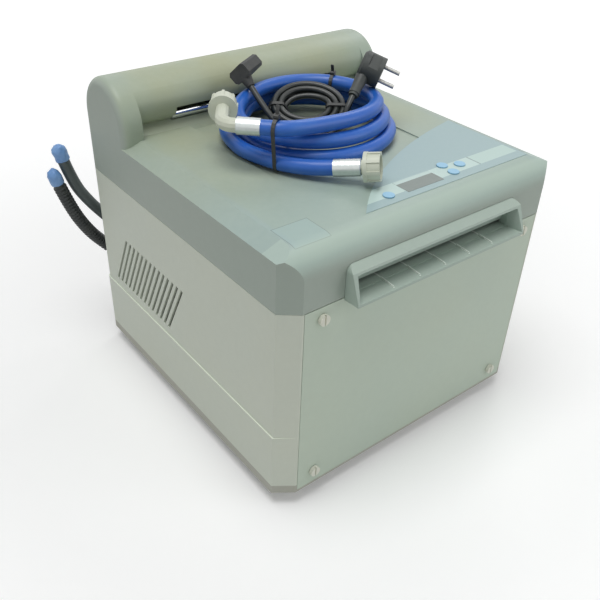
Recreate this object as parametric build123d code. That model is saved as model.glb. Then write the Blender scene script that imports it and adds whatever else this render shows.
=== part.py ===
from build123d import *
import math
import os

os.makedirs("parts", exist_ok=True)

# Table-top dental x-ray film processor for films up to 24 cm wide.
# +X is the machine's right side, -Y its feed side, +Z up, and its feet stand on z = 0.

# ---------------------------------------------------------------- driving dimensions, mm
BODY_WIDTH = 380.0            # cover, side to side
BODY_DEPTH = 394.0            # front panel face to rear panel face
WALL = 3.0                    # moulded walls
SEAM = 0.4                    # gap between the cover and what it closes on

FOOT_HEIGHT = 19.0
FOOT_TOP_RADIUS = 23.0
FOOT_BOTTOM_RADIUS = 21.0
FOOT_X = 143.0
FOOT_Y = 160.0

TRAY_SEAM_Z = 30.0            # base tray to side panels
LEDGE_Z = 102.5               # top of the proud lower zone of the side panels
LEDGE_OUT = 1.5
COVER_SEAM_Z = 260.0          # side panels to cover
SIDE_CREASE_Z = 314.0         # cover side to sloping edge
TOP_Z = 322.0                 # flat top of the cover
TOP_HALF_WIDTH = 169.0        # flat top, to the crease of the sloping edge
FRONT_RADIUS = 28.0           # front top edge of the cover
CORNER_X = 20.0               # chamfer of the upright front corners
CORNER_Y = 15.3
REAR_ROUND = 10.0             # upright rear corners and the ends of the hood

HOOD_RADIUS = 48.5
HOOD_AXIS_Z = 333.5
RECESS_HALF_WIDTH = 165.0     # recess in the front of the hood
RECESS_START_ANGLE = 50.0     # where it leaves the hood's curve, above level
RECESS_ROLL_RADIUS = 24.2
RECESS_FOOT_Z = 331.0
CREASE_FROM_REAR = 88.0       # crease between the hood and the flat top
CATCH_HALF_WIDTH = 101.0      # film catch, a shallow wedge let into the top
CATCH_DEPTH = 4.0
CATCH_FRONT_Y = -133.0
SLOT_HALF_WIDTH = 116.0       # film exit slot
SLOT_LOW_Z = 334.0
SLOT_HEIGHT = 13.0

PANEL_HALF_WIDTH = 168.0      # front panel
PANEL_GAP = 0.3
PANEL_LOW_Z = 22.0
FASTENER_X = 146.0
FASTENER_LOW_Z = 40.0
FASTENER_HIGH_Z = 246.0
FASTENER_HEAD_RADIUS = 6.0
FASTENER_HEAD_HEIGHT = 4.5
FASTENER_SHANK_RADIUS = 3.0
RUNNING = 0.05                # radial clearance of a shaft in its hole

VENT_COUNT = 14
VENT_PITCH = 10.1
VENT_WIDTH = 4.0
VENT_LOW_Z = 114.0
VENT_HIGH_Z = 188.0
VENT_LEAN = 39.0              # top of a slot stands this far forward of its foot
VENT_REAR_Y = 162.0

FILM_HALF_WIDTH = 120.0       # widest film, 24 cm
TRAY_HALF_WIDTH = FILM_HALF_WIDTH + 0.5        # feed tray
TRAY_REACH = 20.0             # lip stands this far in front of the panel
TRAY_LIP_Z = 258.5
TRAY_TOP_Z = 296.0
TRAY_WALL = 2.5
TRAY_CORNER = 8.0
RIB_PITCH = 36.0
RIB_COUNT = 5

ROLLER_HALF_LENGTH = 125.0
ROLLER_Z = 250.0
TANK_PITCH = 70.0
TANK_COUNT = 3
TANK_MID_Y = -35.0
TANK_LENGTH_Y = 60.0          # inside one tank
TANK_HALF_WIDTH = 134.0       # inside
TANK_WALL = 5.0
TANK_FLOOR_Z = 80.0
TANK_RIM_Z = 235.0
RACK_PLATE = 3.0
RACK_HALF_WIDTH = 127.0       # inside the side plates
RACK_PLATE_LENGTH_Y = 54.0
DRIVE_ROLLER_RADIUS = 9.8
NIP_ROLLER_RADIUS = 7.1
SHAFT_RADIUS = 3.0
NIP_MODULE = 1.5
DRIVE_GEAR_TEETH = 14
NIP_GEAR_TEETH = 9
TRAIN_MODULE = 2.5
TRAIN_TEETH = 14
PINION_TEETH = 9
GEAR_WIDTH = 6.0
NIP_GEAR_X = -139.0           # left face of the nip gears
TRAIN_X = 149.0               # left face of the gear train
DRIVE_PLATE_X = 157.0

COVER_HINGE_Z = 266.0
HINGE_X = 135.0
KNUCKLE_RADIUS = 5.0
HINGE_PIN_RADIUS = 2.5

# ---------------------------------------------------------------- derived planes
HALF_W = BODY_WIDTH / 2
HALF_D = BODY_DEPTH / 2
COVER_Z0 = COVER_SEAM_Z + SEAM
HOOD_Y = HALF_D - HOOD_RADIUS
CREASE_Y = HALF_D - CREASE_FROM_REAR
HINGE_Y = HALF_D + KNUCKLE_RADIUS + 0.5
NIP_DISTANCE = NIP_MODULE * (DRIVE_GEAR_TEETH + NIP_GEAR_TEETH) / 2
TANK_YS = [TANK_MID_Y + TANK_PITCH * (i - (TANK_COUNT - 1) / 2) for i in range(TANK_COUNT)]
IDLER_YS = [y + TANK_PITCH / 2 for y in TANK_YS]
DRYER_Y = TANK_YS[-1] + TANK_PITCH
BATHS = ["developer", "fixer", "wash"]


def save(shape, node):
    """Write one node's solids to its own STEP file."""
    shape.label = node
    export_step(shape, "parts/" + node + ".step")


def box(x0, x1, y0, y1, z0, z1):
    """Block between two corners."""
    return Pos((x0 + x1) / 2, (y0 + y1) / 2, (z0 + z1) / 2) * Box(x1 - x0, y1 - y0, z1 - z0)


def rod(radius, length, sides):
    """Round bar along Z about the origin, or a bar with flat sides."""
    if sides == 0:
        return Cylinder(radius, length)
    return extrude(RegularPolygon(radius, sides), length / 2, both=True)


def along_x(radius, x0, x1, y, z, sides=0):
    """Bar along X."""
    return Pos((x0 + x1) / 2, y, z) * Rot(0, 90, 0) * rod(radius, abs(x1 - x0), sides)


def along_y(radius, y0, y1, x, z, sides=0):
    """Bar along Y."""
    return Pos(x, (y0 + y1) / 2, z) * Rot(90, 0, 0) * rod(radius, abs(y1 - y0), sides)


def along_z(radius, z0, z1, x, y, sides=0):
    """Bar along Z."""
    return Pos(x, y, (z0 + z1) / 2) * rod(radius, z1 - z0, sides)


def side_prism(outline, half_width):
    """Closed outline in (y, z), extruded to both sides of the middle plane."""
    wire = Wire.make_polygon([(-half_width, y, z) for y, z in outline], close=True)
    return Solid.extrude(Face(wire), Vector(2 * half_width, 0, 0))


def front_prism(outline, y0, y1):
    """Closed outline in (x, z), extruded from y0 to y1."""
    wire = Wire.make_polygon([(x, y0, z) for x, z in outline], close=True)
    return Solid.extrude(Face(wire), Vector(0, y1 - y0, 0))


def plan_prism(outline, z0, z1):
    """Closed outline in (x, y), extruded from z0 to z1."""
    wire = Wire.make_polygon([(x, y, z0) for x, y in outline], close=True)
    return Solid.extrude(Face(wire), Vector(0, 0, z1 - z0))


def body_plan(inset=0.0, side_out=0.0):
    """Outline of the body seen from above, with its chamfered front corners."""
    side = HALF_W - inset + side_out
    front = -HALF_D + inset
    slope = math.hypot(CORNER_X, CORNER_Y)
    cut_x = CORNER_X + inset * (slope - CORNER_X) / CORNER_Y - inset
    cut_y = CORNER_Y + inset * (slope - CORNER_Y) / CORNER_X - inset
    return [(-side, HALF_D - inset), (-side, front + cut_y), (-HALF_W + inset + cut_x, front),
            (HALF_W - inset - cut_x, front), (side, front + cut_y), (side, HALF_D - inset)]


def body_block(inset, side_out, z0, z1):
    """Upright block on the body's outline, with its rear corners rounded."""
    block = plan_prism(body_plan(inset, side_out), z0, z1)
    rear = [e for e in block.edges() if abs(e.center().Y - HALF_D + inset) < 0.01 and abs(e.tangent_at(0.5).Z) > 0.9]
    return fillet(rear, REAR_ROUND - inset)


# ---------------------------------------------------------------- gears
def involute(base_radius, radius):
    """Polar angle that the involute has turned through at a radius."""
    if radius <= base_radius:
        return 0.0
    pressure = math.acos(base_radius / radius)
    return math.tan(pressure) - pressure


def gear_outline(module, teeth, tooth_at):
    """Corner points of a spur gear in its own plane, with backlash in the tooth thickness."""
    pitch_radius = module * teeth / 2
    base_radius = pitch_radius * math.cos(math.radians(20))
    root_radius = pitch_radius - 1.25 * module
    tip_radius = pitch_radius + 0.9 * module
    half_tooth = math.pi / teeth * 0.42
    start = math.radians(tooth_at)
    flank = [root_radius, tip_radius]
    points = []
    for i in range(teeth):
        middle = start + i * 2 * math.pi / teeth
        for sign, radii in ((-1, flank), (1, flank[::-1])):
            for radius in radii:
                lean = involute(base_radius, radius) - involute(base_radius, pitch_radius)
                angle = middle + sign * (half_tooth - lean)
                points.append((radius * math.cos(angle), radius * math.sin(angle)))
    return points


def gear_along_x(module, teeth, tooth_at, x0, width, y, z):
    """Spur gear along X with its left face at x0 and one tooth at an angle up from +Y."""
    outline = [(x0, y + u, z + v) for u, v in gear_outline(module, teeth, tooth_at)]
    return Solid.extrude(Face(Wire.make_polygon(outline, close=True)), Vector(width, 0, 0))


# ---------------------------------------------------------------- cover
def mouth_block(clearance, low_z, y0, y1):
    """Front view of the feed opening, upper corners rounded, extruded from y0 to y1."""
    half = TRAY_HALF_WIDTH + clearance
    top = TRAY_TOP_Z + clearance
    block = box(-half, half, y0, y1, low_z, top)
    corners = [e for e in block.edges() if abs(e.center().Z - top) < 0.01 and abs(e.tangent_at(0.5).Y) > 0.9]
    return fillet(corners, TRAY_CORNER + clearance)


def hood_volume(inset):
    """Arch-shaped hood across the rear, with rounded ends."""
    radius = HOOD_RADIUS - inset
    half = HALF_W - inset
    low = COVER_Z0
    sides = [Edge.make_line((-half, HOOD_Y - radius, HOOD_AXIS_Z), (-half, HOOD_Y - radius, low)),
             Edge.make_line((-half, HOOD_Y - radius, low), (-half, HOOD_Y + radius, low)),
             Edge.make_line((-half, HOOD_Y + radius, low), (-half, HOOD_Y + radius, HOOD_AXIS_Z)),
             Edge.make_three_point_arc((-half, HOOD_Y + radius, HOOD_AXIS_Z),
                                       (-half, HOOD_Y, HOOD_AXIS_Z + radius),
                                       (-half, HOOD_Y - radius, HOOD_AXIS_Z))]
    arch = Solid.extrude(Face(Wire(sides)), Vector(2 * half, 0, 0))
    ends = [e for e in arch.edges() if abs(abs(e.center().X) - half) < 0.01 and e.center().Z > low + 1]
    return fillet(ends, REAR_ROUND) if inset == 0 else chamfer(ends, REAR_ROUND - inset)


def body_volume(inset):
    """Lower part of the cover: sloping side edges and a round front edge."""
    top = TOP_Z - inset
    radius = FRONT_RADIUS - inset
    front = -HALF_D + inset
    rear = HALF_D - inset
    plan = body_block(inset, 0, COVER_Z0, top + 1)
    profile = [Edge.make_line((-HALF_W, front, COVER_Z0), (-HALF_W, front, top - radius)),
               Edge.make_three_point_arc(
                   (-HALF_W, front, top - radius),
                   (-HALF_W, front + radius * (1 - math.sqrt(0.5)), top - radius * (1 - math.sqrt(0.5))),
                   (-HALF_W, front + radius, top)),
               Edge.make_line((-HALF_W, front + radius, top), (-HALF_W, rear, top)),
               Edge.make_line((-HALF_W, rear, top), (-HALF_W, rear, COVER_Z0)),
               Edge.make_line((-HALF_W, rear, COVER_Z0), (-HALF_W, front, COVER_Z0))]
    length = Solid.extrude(Face(Wire(profile)), Vector(2 * HALF_W, 0, 0))
    side = HALF_W - inset
    across = front_prism([(-side, COVER_Z0), (-side, SIDE_CREASE_Z - inset), (-TOP_HALF_WIDTH, top),
                          (TOP_HALF_WIDTH, top), (side, SIDE_CREASE_Z - inset), (side, COVER_Z0)],
                         -HALF_D, HALF_D)
    return plan & length & across


def recess_volume(grow):
    """Recess that rolls in under the hood's curve and ends on a sloping ledge."""
    angle = math.radians(RECESS_START_ANGLE)
    start = (HOOD_Y - HOOD_RADIUS * math.cos(angle), HOOD_AXIS_Z + HOOD_RADIUS * math.sin(angle))
    roll_y = start[0] + RECESS_ROLL_RADIUS * math.cos(angle)
    roll_z = start[1] - RECESS_ROLL_RADIUS * math.sin(angle)
    radius = RECESS_ROLL_RADIUS - grow
    foot_z = RECESS_FOOT_Z
    foot_y = roll_y - math.sqrt(radius ** 2 - (roll_z - foot_z) ** 2)
    half = RECESS_HALF_WIDTH + grow
    begin = (roll_y - radius * math.cos(angle), roll_z + radius * math.sin(angle))
    outside_y = HOOD_Y - HOOD_RADIUS - 12
    ledge_z = TOP_Z - grow
    edges = [Edge.make_three_point_arc((-half,) + begin, (-half, roll_y - radius, roll_z), (-half, foot_y, foot_z)),
             Edge.make_line((-half, foot_y, foot_z), (-half, CREASE_Y + grow, ledge_z)),
             Edge.make_line((-half, CREASE_Y + grow, ledge_z), (-half, outside_y, ledge_z)),
             Edge.make_line((-half, outside_y, ledge_z), (-half, outside_y, begin[1] + 5)),
             Edge.make_line((-half, outside_y, begin[1] + 5), (-half,) + begin)]
    return Solid.extrude(Face(Wire(edges)), Vector(2 * half, 0, 0))


def catch_volume(grow):
    """Wedge taken out of the top where the films come to lie."""
    slope = (RECESS_FOOT_Z - TOP_Z) / 12.0
    rear = CREASE_Y - CATCH_DEPTH / slope * 0.75
    return side_prism([(CATCH_FRONT_Y, TOP_Z - grow), (rear, TOP_Z - CATCH_DEPTH - grow),
                       (CREASE_Y + grow, TOP_Z - grow), (CREASE_Y, TOP_Z + 2), (CATCH_FRONT_Y, TOP_Z + 2)],
                      CATCH_HALF_WIDTH + grow)


KEYS = {"key_start": (-31.0, -154.0), "key_up": (65.0, -136.0),
        "key_down": (64.0, -153.5), "key_stop": (84.0, -144.0)}
KEY_RADIUS = 6.2
KEY_STEM_RADIUS = 3.5
FOIL_THICKNESS = 0.5
FOIL_FRONT_Y = -168.5
WINDOW = (-9.0, 43.0, -160.0, -136.0)
BOARD_TOP_Z = 302.0
BOARD_THICKNESS = 1.6
BOARD_CORNERS = (-60.0, 110.0, -164.0, -126.0)
KEY_TRAVEL = 0.4
KEY_CAP = 1.2
SWITCH_HEIGHT = 3.5

EXIT_ROLLER_RADIUS = 6.0
EXIT_ROLLER_Y = 122.0
EXIT_ROLLER_Z = 335.5
EAR_X = SLOT_HALF_WIDTH + 3.0
EAR_THICKNESS = 4.0


def top_cover():
    """One moulded shell: top, sides, rear wall, hood and the fascia over the feed tray."""
    outer = body_volume(0) + hood_volume(0)
    outer = outer - recess_volume(0) - catch_volume(0)
    hollow = body_volume(WALL) + hood_volume(WALL)
    hollow = hollow - recess_volume(WALL) - catch_volume(WALL)
    shell = outer - hollow
    shell -= mouth_block(SEAM, COVER_Z0 - 1, -HALF_D - 5, -HALF_D + WALL + 5)
    shell -= box(-SLOT_HALF_WIDTH, SLOT_HALF_WIDTH, CREASE_Y, EXIT_ROLLER_Y, SLOT_LOW_Z, SLOT_LOW_Z + SLOT_HEIGHT)
    shell -= along_x(EXIT_ROLLER_RADIUS + 1.0, -EAR_X, EAR_X, EXIT_ROLLER_Y, EXIT_ROLLER_Z)
    for x, y in KEYS.values():
        shell -= along_z(KEY_STEM_RADIUS + RUNNING, TOP_Z - WALL - 1, TOP_Z + 1, x, y)
    for x in (BOARD_CORNERS[0] + 6, BOARD_CORNERS[1] - 6):
        for y in (BOARD_CORNERS[2] + 4, BOARD_CORNERS[3] - 4):
            shell += along_z(3, BOARD_TOP_Z, TOP_Z - WALL + 0.5, x, y, 6)
    for side in (-1, 1):
        x0 = side * EAR_X
        x1 = side * (EAR_X + EAR_THICKNESS)
        ear = box(min(x0, x1), max(x0, x1), EXIT_ROLLER_Y - 9, EXIT_ROLLER_Y + 6,
                  EXIT_ROLLER_Z - 6, EXIT_ROLLER_Z + 6)
        ear -= recess_volume(WALL / 2)
        shell += ear
        shell -= along_x(SHAFT_RADIUS + RUNNING, x0 - side, x1 + side, EXIT_ROLLER_Y, EXIT_ROLLER_Z)
        knuckle = along_x(KNUCKLE_RADIUS, side * HINGE_X - 8, side * HINGE_X + 8, HINGE_Y, COVER_HINGE_Z)
        knuckle += box(side * HINGE_X - 8, side * HINGE_X + 8, HALF_D - WALL / 2, HINGE_Y,
                       COVER_HINGE_Z - 2.5, COVER_HINGE_Z + KNUCKLE_RADIUS)
        knuckle -= along_x(HINGE_PIN_RADIUS + RUNNING, side * HINGE_X - 9, side * HINGE_X + 9,
                           HINGE_Y, COVER_HINGE_Z)
        shell += knuckle
    return shell


def foil_outline():
    """Left and rear edge of the control foil is one long curve, its front edge is straight."""
    rear = [(-74.0, FOIL_FRONT_Y), (-22.6, -125.0), (53.0, -84.0), (TOP_HALF_WIDTH - 0.5, -50.0)]
    return rear


def control_foil():
    """Thin printed foil on the top, cut out for the keys and the window."""
    points = foil_outline()
    z = TOP_Z
    curve = Edge.make_spline([Vector(x, y, z) for x, y in points])
    right = Edge.make_line((points[-1][0], points[-1][1], z), (points[-1][0], FOIL_FRONT_Y, z))
    front = Edge.make_line((points[-1][0], FOIL_FRONT_Y, z), (points[0][0], FOIL_FRONT_Y, z))
    foil = Solid.extrude(Face(Wire([curve, right, front])), Vector(0, 0, FOIL_THICKNESS))
    x0, x1, y0, y1 = WINDOW
    foil -= box(x0, x1, y0, y1, z - 1, z + 1)
    for x, y in KEYS.values():
        foil -= along_z(KEY_RADIUS + 0.3, z - 1, z + 1, x, y)
    return foil


def display_window():
    x0, x1, y0, y1 = WINDOW
    window = box(x0, x1, y0, y1, TOP_Z, TOP_Z + FOIL_THICKNESS + 0.2)
    return window


def key_button(x, y):
    """Round key: a domed cap over a stem that reaches its switch on the board."""
    low = TOP_Z + KEY_TRAVEL + 0.1
    cap = along_z(KEY_RADIUS, low, low + KEY_CAP, x, y, 20)
    stem = along_z(KEY_STEM_RADIUS, BOARD_TOP_Z + SWITCH_HEIGHT + KEY_TRAVEL + 0.1, low + KEY_CAP / 2, x, y, 12)
    return cap + stem


def control_board():
    """Circuit board with one switch under each key and the display module."""
    x0, x1, y0, y1 = BOARD_CORNERS
    board = box(x0, x1, y0, y1, BOARD_TOP_Z - BOARD_THICKNESS, BOARD_TOP_Z)
    for x, y in KEYS.values():
        board += box(x - 3, x + 3, y - 3, y + 3, BOARD_TOP_Z - 0.1, BOARD_TOP_Z + SWITCH_HEIGHT)
    wx0, wx1, wy0, wy1 = WINDOW
    board += box(wx0 + 2, wx1 - 2, wy0 + 2, wy1 - 2, BOARD_TOP_Z - 0.1, BOARD_TOP_Z + 6)
    return board


def exit_roller():
    """Bright roller that hands the dry film out through the slot."""
    roller = along_x(EXIT_ROLLER_RADIUS, -EAR_X + 0.3, EAR_X - 0.3, EXIT_ROLLER_Y, EXIT_ROLLER_Z)
    return roller + along_x(SHAFT_RADIUS, -EAR_X - EAR_THICKNESS, EAR_X + EAR_THICKNESS,
                            EXIT_ROLLER_Y, EXIT_ROLLER_Z)


# ---------------------------------------------------------------- casing
SPIGOT_X = -152.0
SPIGOT_ZS = (148.0, 102.0)
SPIGOT_RADIUS = 8.0
SPIGOT_REACH = 12.0           # drain pipes stand out behind the rear panel
INLET_X = 152.0
INLET_Z = 75.0
INLET_THREAD_RADIUS = 13.2
SOCKET_X = 152.0
SOCKET_Z = 170.0
PANEL_EDGE_GAP = 0.5


def rubber_feet():
    """Four tapered feet under the base tray."""
    feet = []
    for x in (-FOOT_X, FOOT_X):
        for y in (-FOOT_Y, FOOT_Y):
            foot = Pos(x, y, FOOT_HEIGHT / 2) * Cone(FOOT_BOTTOM_RADIUS, FOOT_TOP_RADIUS, FOOT_HEIGHT)
            feet.append(foot)
    return Compound(children=feet)


def base_tray():
    """Drip tray that carries everything, with a low wall all round."""
    z0 = FOOT_HEIGHT
    tray = body_block(0, LEDGE_OUT, z0, TRAY_SEAM_Z)
    tray -= box(-PANEL_HALF_WIDTH, PANEL_HALF_WIDTH, -HALF_D - 1, -HALF_D + WALL, PANEL_LOW_Z - PANEL_GAP,
                TRAY_SEAM_Z + 1)
    inner = body_block(WALL, 0, z0 + WALL, TRAY_SEAM_Z + 1)
    inner -= box(-HALF_W, HALF_W, -HALF_D, -HALF_D + 2 * WALL, z0, TRAY_SEAM_Z + 1)
    return tray - inner


def vents(side):
    """Row of leaning slots through a side panel."""
    x0, x1 = sorted((side * (HALF_W - WALL - 2), side * (HALF_W + LEDGE_OUT + 2)))
    length = math.hypot(VENT_LEAN, VENT_HIGH_Z - VENT_LOW_Z)
    angle = math.degrees(math.atan2(VENT_LEAN, VENT_HIGH_Z - VENT_LOW_Z))
    group = []
    for i in range(VENT_COUNT):
        y = VENT_REAR_Y - i * VENT_PITCH - VENT_LEAN / 2
        slot = Box(x1 - x0, VENT_WIDTH, length)
        group.append(Pos((x0 + x1) / 2, y, (VENT_LOW_Z + VENT_HIGH_Z) / 2) * Rot(angle, 0, 0) * slot)
    return group


FLANGE_INNER_X = 134.0
FLANGE_THICKNESS = 2.0


def side_panel(side):
    """Moulded side with its chamfered front corner, vents and the flange the front panel locks to."""
    top = COVER_SEAM_Z
    outer = body_block(0, 0, TRAY_SEAM_Z, top)
    proud = body_block(0, LEDGE_OUT, TRAY_SEAM_Z, LEDGE_Z)
    inner = body_block(WALL, 0, TRAY_SEAM_Z - 1, top + 1)
    shell = outer + proud - inner
    keep_x0, keep_x1 = sorted((side * (PANEL_HALF_WIDTH + PANEL_GAP), side * (HALF_W + 10)))
    keep = box(keep_x0, keep_x1, -HALF_D - 1, HALF_D - WALL, TRAY_SEAM_Z - 1, top + 1)
    panel = shell & keep
    fx0, fx1 = sorted((side * FLANGE_INNER_X, side * (PANEL_HALF_WIDTH + 4)))
    front = -HALF_D + WALL
    flange = box(fx0, fx1, front, front + FLANGE_THICKNESS, TRAY_SEAM_Z + 2, top - 2)
    for z in (FASTENER_LOW_Z, FASTENER_HIGH_Z):
        flange -= along_y(FASTENER_SHANK_RADIUS + RUNNING, front - 1, front + 4, side * FASTENER_X, z)
    panel += flange
    for slot in vents(side):
        panel -= slot
    return panel


def front_panel():
    """Plain front with two stiffening ribs behind, held by four quarter-turn fasteners."""
    half = PANEL_HALF_WIDTH - PANEL_GAP
    face = box(-half, half, -HALF_D, -HALF_D + WALL, PANEL_LOW_Z, COVER_SEAM_Z - PANEL_EDGE_GAP)
    inner = FLANGE_INNER_X - 2
    for z in (90.0, 190.0):
        face += box(-inner, inner, -HALF_D + WALL - 0.1, -HALF_D + WALL + 6, z - 1.2, z + 1.2)
    for x in (-FASTENER_X, FASTENER_X):
        for z in (FASTENER_LOW_Z, FASTENER_HIGH_Z):
            face -= along_y(FASTENER_SHANK_RADIUS + RUNNING, -HALF_D - 1, -HALF_D + WALL + 1, x, z)
    return face


def panel_fastener(x, z):
    """Quarter-turn fastener: slotted head, shank through panel and flange, cam wing behind."""
    face = -HALF_D
    head = along_y(FASTENER_HEAD_RADIUS, face - FASTENER_HEAD_HEIGHT, face - 0.3, x, z, 24)
    head -= box(x - 0.9, x + 0.9, face - FASTENER_HEAD_HEIGHT - 1, face - FASTENER_HEAD_HEIGHT + 1.8, z - 7, z + 7)
    back = face + WALL + FLANGE_THICKNESS
    shank = along_y(FASTENER_SHANK_RADIUS, face - 0.5, back + 3.3, x, z, 16)
    wing = box(x - 5.5, x + 5.5, back + 0.3, back + 3.3, z - 1.6, z + 1.6)
    return head + shank + wing


def rear_panel():
    """Steel rear wall with the hinge ears, the socket cut-out and holes for water and drains."""
    inner = HALF_W - REAR_ROUND - WALL
    y0 = HALF_D - WALL
    panel = body_block(0, 0, TRAY_SEAM_Z, COVER_SEAM_Z - PANEL_EDGE_GAP)
    panel &= box(-HALF_W, HALF_W, y0, HALF_D, TRAY_SEAM_Z, COVER_SEAM_Z)
    panel += box(-inner, inner, y0 - 8, y0 + 0.1, TRAY_SEAM_Z, TRAY_SEAM_Z + 2)
    for z in SPIGOT_ZS:
        panel -= along_y(SPIGOT_RADIUS + 0.3, y0 - 10, HALF_D + 1, SPIGOT_X, z)
    panel -= along_y(INLET_THREAD_RADIUS + 0.3, y0 - 10, HALF_D + 1, INLET_X, INLET_Z)
    panel -= box(SOCKET_X - SOCKET_BODY[0], SOCKET_X + SOCKET_BODY[0], y0 - 1, HALF_D + 1,
                 SOCKET_Z - SOCKET_BODY[1], SOCKET_Z + SOCKET_BODY[1])
    for side in (-1, 1):
        for offset in (-1, 1):
            x0 = side * HINGE_X + offset * 8.3
            x1 = side * HINGE_X + offset * 16.3
            x0, x1 = sorted((x0, x1))
            ear = along_x(KNUCKLE_RADIUS, x0, x1, HINGE_Y, COVER_HINGE_Z)
            ear += box(x0, x1, HINGE_Y - KNUCKLE_RADIUS, HINGE_Y + 1, 236, COVER_HINGE_Z)
            ear += box(x0, x1, HALF_D - 0.5, HINGE_Y + 1, 236, COVER_SEAM_Z - PANEL_EDGE_GAP)
            ear -= along_x(HINGE_PIN_RADIUS, x0 - 1, x1 + 1, HINGE_Y, COVER_HINGE_Z)
            panel += ear
    for i in range(4):
        panel -= box(-60, 60, y0 - 1, HALF_D + 1, 120 + i * 12, 124 + i * 12)
    return panel


def hinge_pins():
    pins = []
    for side in (-1, 1):
        pin = along_x(HINGE_PIN_RADIUS, side * HINGE_X - 17.5, side * HINGE_X + 17.5, HINGE_Y, COVER_HINGE_Z)
        pins.append(pin)
    return Compound(children=pins)


def feed_tray():
    """Scoop in the front opening: sloping bezel, flared side walls, ribbed floor and an inner film chute."""
    face = -HALF_D
    lip_y = face - TRAY_REACH
    inside_y = face + 9.0
    top_y = face - 9.0
    outer = side_prism([(inside_y, TRAY_LIP_Z + 2.5), (face - 0.3, TRAY_LIP_Z + 2.5), (face - 0.3, TRAY_LIP_Z - 1),
                        (lip_y, TRAY_LIP_Z), (lip_y, TRAY_LIP_Z + 3), (top_y, TRAY_TOP_Z - 6), (face, TRAY_TOP_Z),
                        (inside_y, TRAY_TOP_Z - 3)], TRAY_HALF_WIDTH)
    outer &= mouth_block(0, TRAY_LIP_Z - 5, lip_y - 5, inside_y + 5)
    floor_z = TRAY_LIP_Z + 5.0
    half_in = TRAY_HALF_WIDTH - TRAY_CORNER
    scoop = side_prism([(lip_y - 5, TRAY_LIP_Z + 3), (inside_y - TRAY_WALL, floor_z), (inside_y - TRAY_WALL, floor_z + 8),
                        (face + 1, TRAY_TOP_Z - TRAY_WALL - 4), (top_y, TRAY_TOP_Z - 6 - TRAY_WALL),
                        (lip_y - 5, TRAY_TOP_Z - 6 - TRAY_WALL)], half_in)
    flare_depth = 8.0
    flare = Solid.make_loft([
        Wire.make_polygon([(x, lip_y - 4, z) for x, z in
                           ((-TRAY_HALF_WIDTH + 1.5, floor_z - 2), (TRAY_HALF_WIDTH - 1.5, floor_z - 2),
                            (TRAY_HALF_WIDTH - 1.5, TRAY_TOP_Z - 9), (-TRAY_HALF_WIDTH + 1.5, TRAY_TOP_Z - 9))],
                          close=True),
        Wire.make_polygon([(x, face - 1, z) for x, z in
                           ((-half_in, floor_z - 1), (half_in, floor_z - 1), (half_in, TRAY_TOP_Z - 9),
                            (-half_in, TRAY_TOP_Z - 9))], close=True)], True)
    tray = outer - scoop - flare
    slit = box(-half_in, half_in, inside_y - TRAY_WALL - 1, inside_y + 1, floor_z, floor_z + 5)
    tray -= slit
    for i in range(RIB_COUNT):
        x = (i - (RIB_COUNT - 1) / 2) * RIB_PITCH
        tray += side_prism([(lip_y + 4, TRAY_LIP_Z + 2), (face + 2, floor_z - 1), (face + 2, floor_z + 0.8),
                            (lip_y + 4, TRAY_LIP_Z + 4.6)], 0.6).moved(Location((x, 0, 0)))
    chute_rear = TANK_YS[0] - NIP_DISTANCE - NIP_ROLLER_RADIUS - 1.0
    chute_half = RACK_HALF_WIDTH - 8
    tray += side_prism([(inside_y - 1, floor_z - 2), (inside_y - 1, floor_z), (chute_rear, ROLLER_Z + 7),
                        (chute_rear, ROLLER_Z + 5)], chute_half)
    leg_y = TANK_YS[0] - TANK_LENGTH_Y / 2 - TANK_WALL - 4
    for x in (-90, 90):
        tray += box(x - 5, x + 5, leg_y - 3, leg_y + 3, TANK_RIM_Z, ROLLER_Z + 8.3)
    return tray


# ---------------------------------------------------------------- wet section
def tank_block():
    """Developer, fixer and wash tank in one moulding, on skirts, with two drain pipes to the rear."""
    y0 = TANK_YS[0] - TANK_LENGTH_Y / 2 - TANK_WALL
    y1 = TANK_YS[-1] + TANK_LENGTH_Y / 2 + TANK_WALL
    half = TANK_HALF_WIDTH + TANK_WALL
    bottom = TANK_FLOOR_Z - TANK_WALL
    block = box(-half, half, y0, y1, bottom, TANK_RIM_Z)
    block += box(-half - 6, half + 6, y0 - 8, y1 + 6, TANK_RIM_Z - 3, TANK_RIM_Z)
    for y in TANK_YS:
        tank = box(-TANK_HALF_WIDTH, TANK_HALF_WIDTH, y - TANK_LENGTH_Y / 2, y + TANK_LENGTH_Y / 2,
                   TANK_FLOOR_Z, TANK_RIM_Z + 1)
        low = [e for e in tank.edges() if abs(e.center().Z - TANK_FLOOR_Z) < 0.01 and abs(e.center().X) < 1]
        block -= chamfer(low, 14)
    floor = FOOT_HEIGHT + WALL
    for x in (-half + 8, half - 8):
        block += box(x - 2, x + 2, y0 + 4, y1 - 4, floor, bottom + 1)
    for z in SPIGOT_ZS:
        elbow_y = y1 - 20
        block += along_x(SPIGOT_RADIUS - 1, SPIGOT_X, -TANK_HALF_WIDTH - 1, elbow_y, z, 12)
        block += along_y(SPIGOT_RADIUS, elbow_y - SPIGOT_RADIUS, HALF_D + SPIGOT_REACH, SPIGOT_X, z)
    return block


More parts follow.
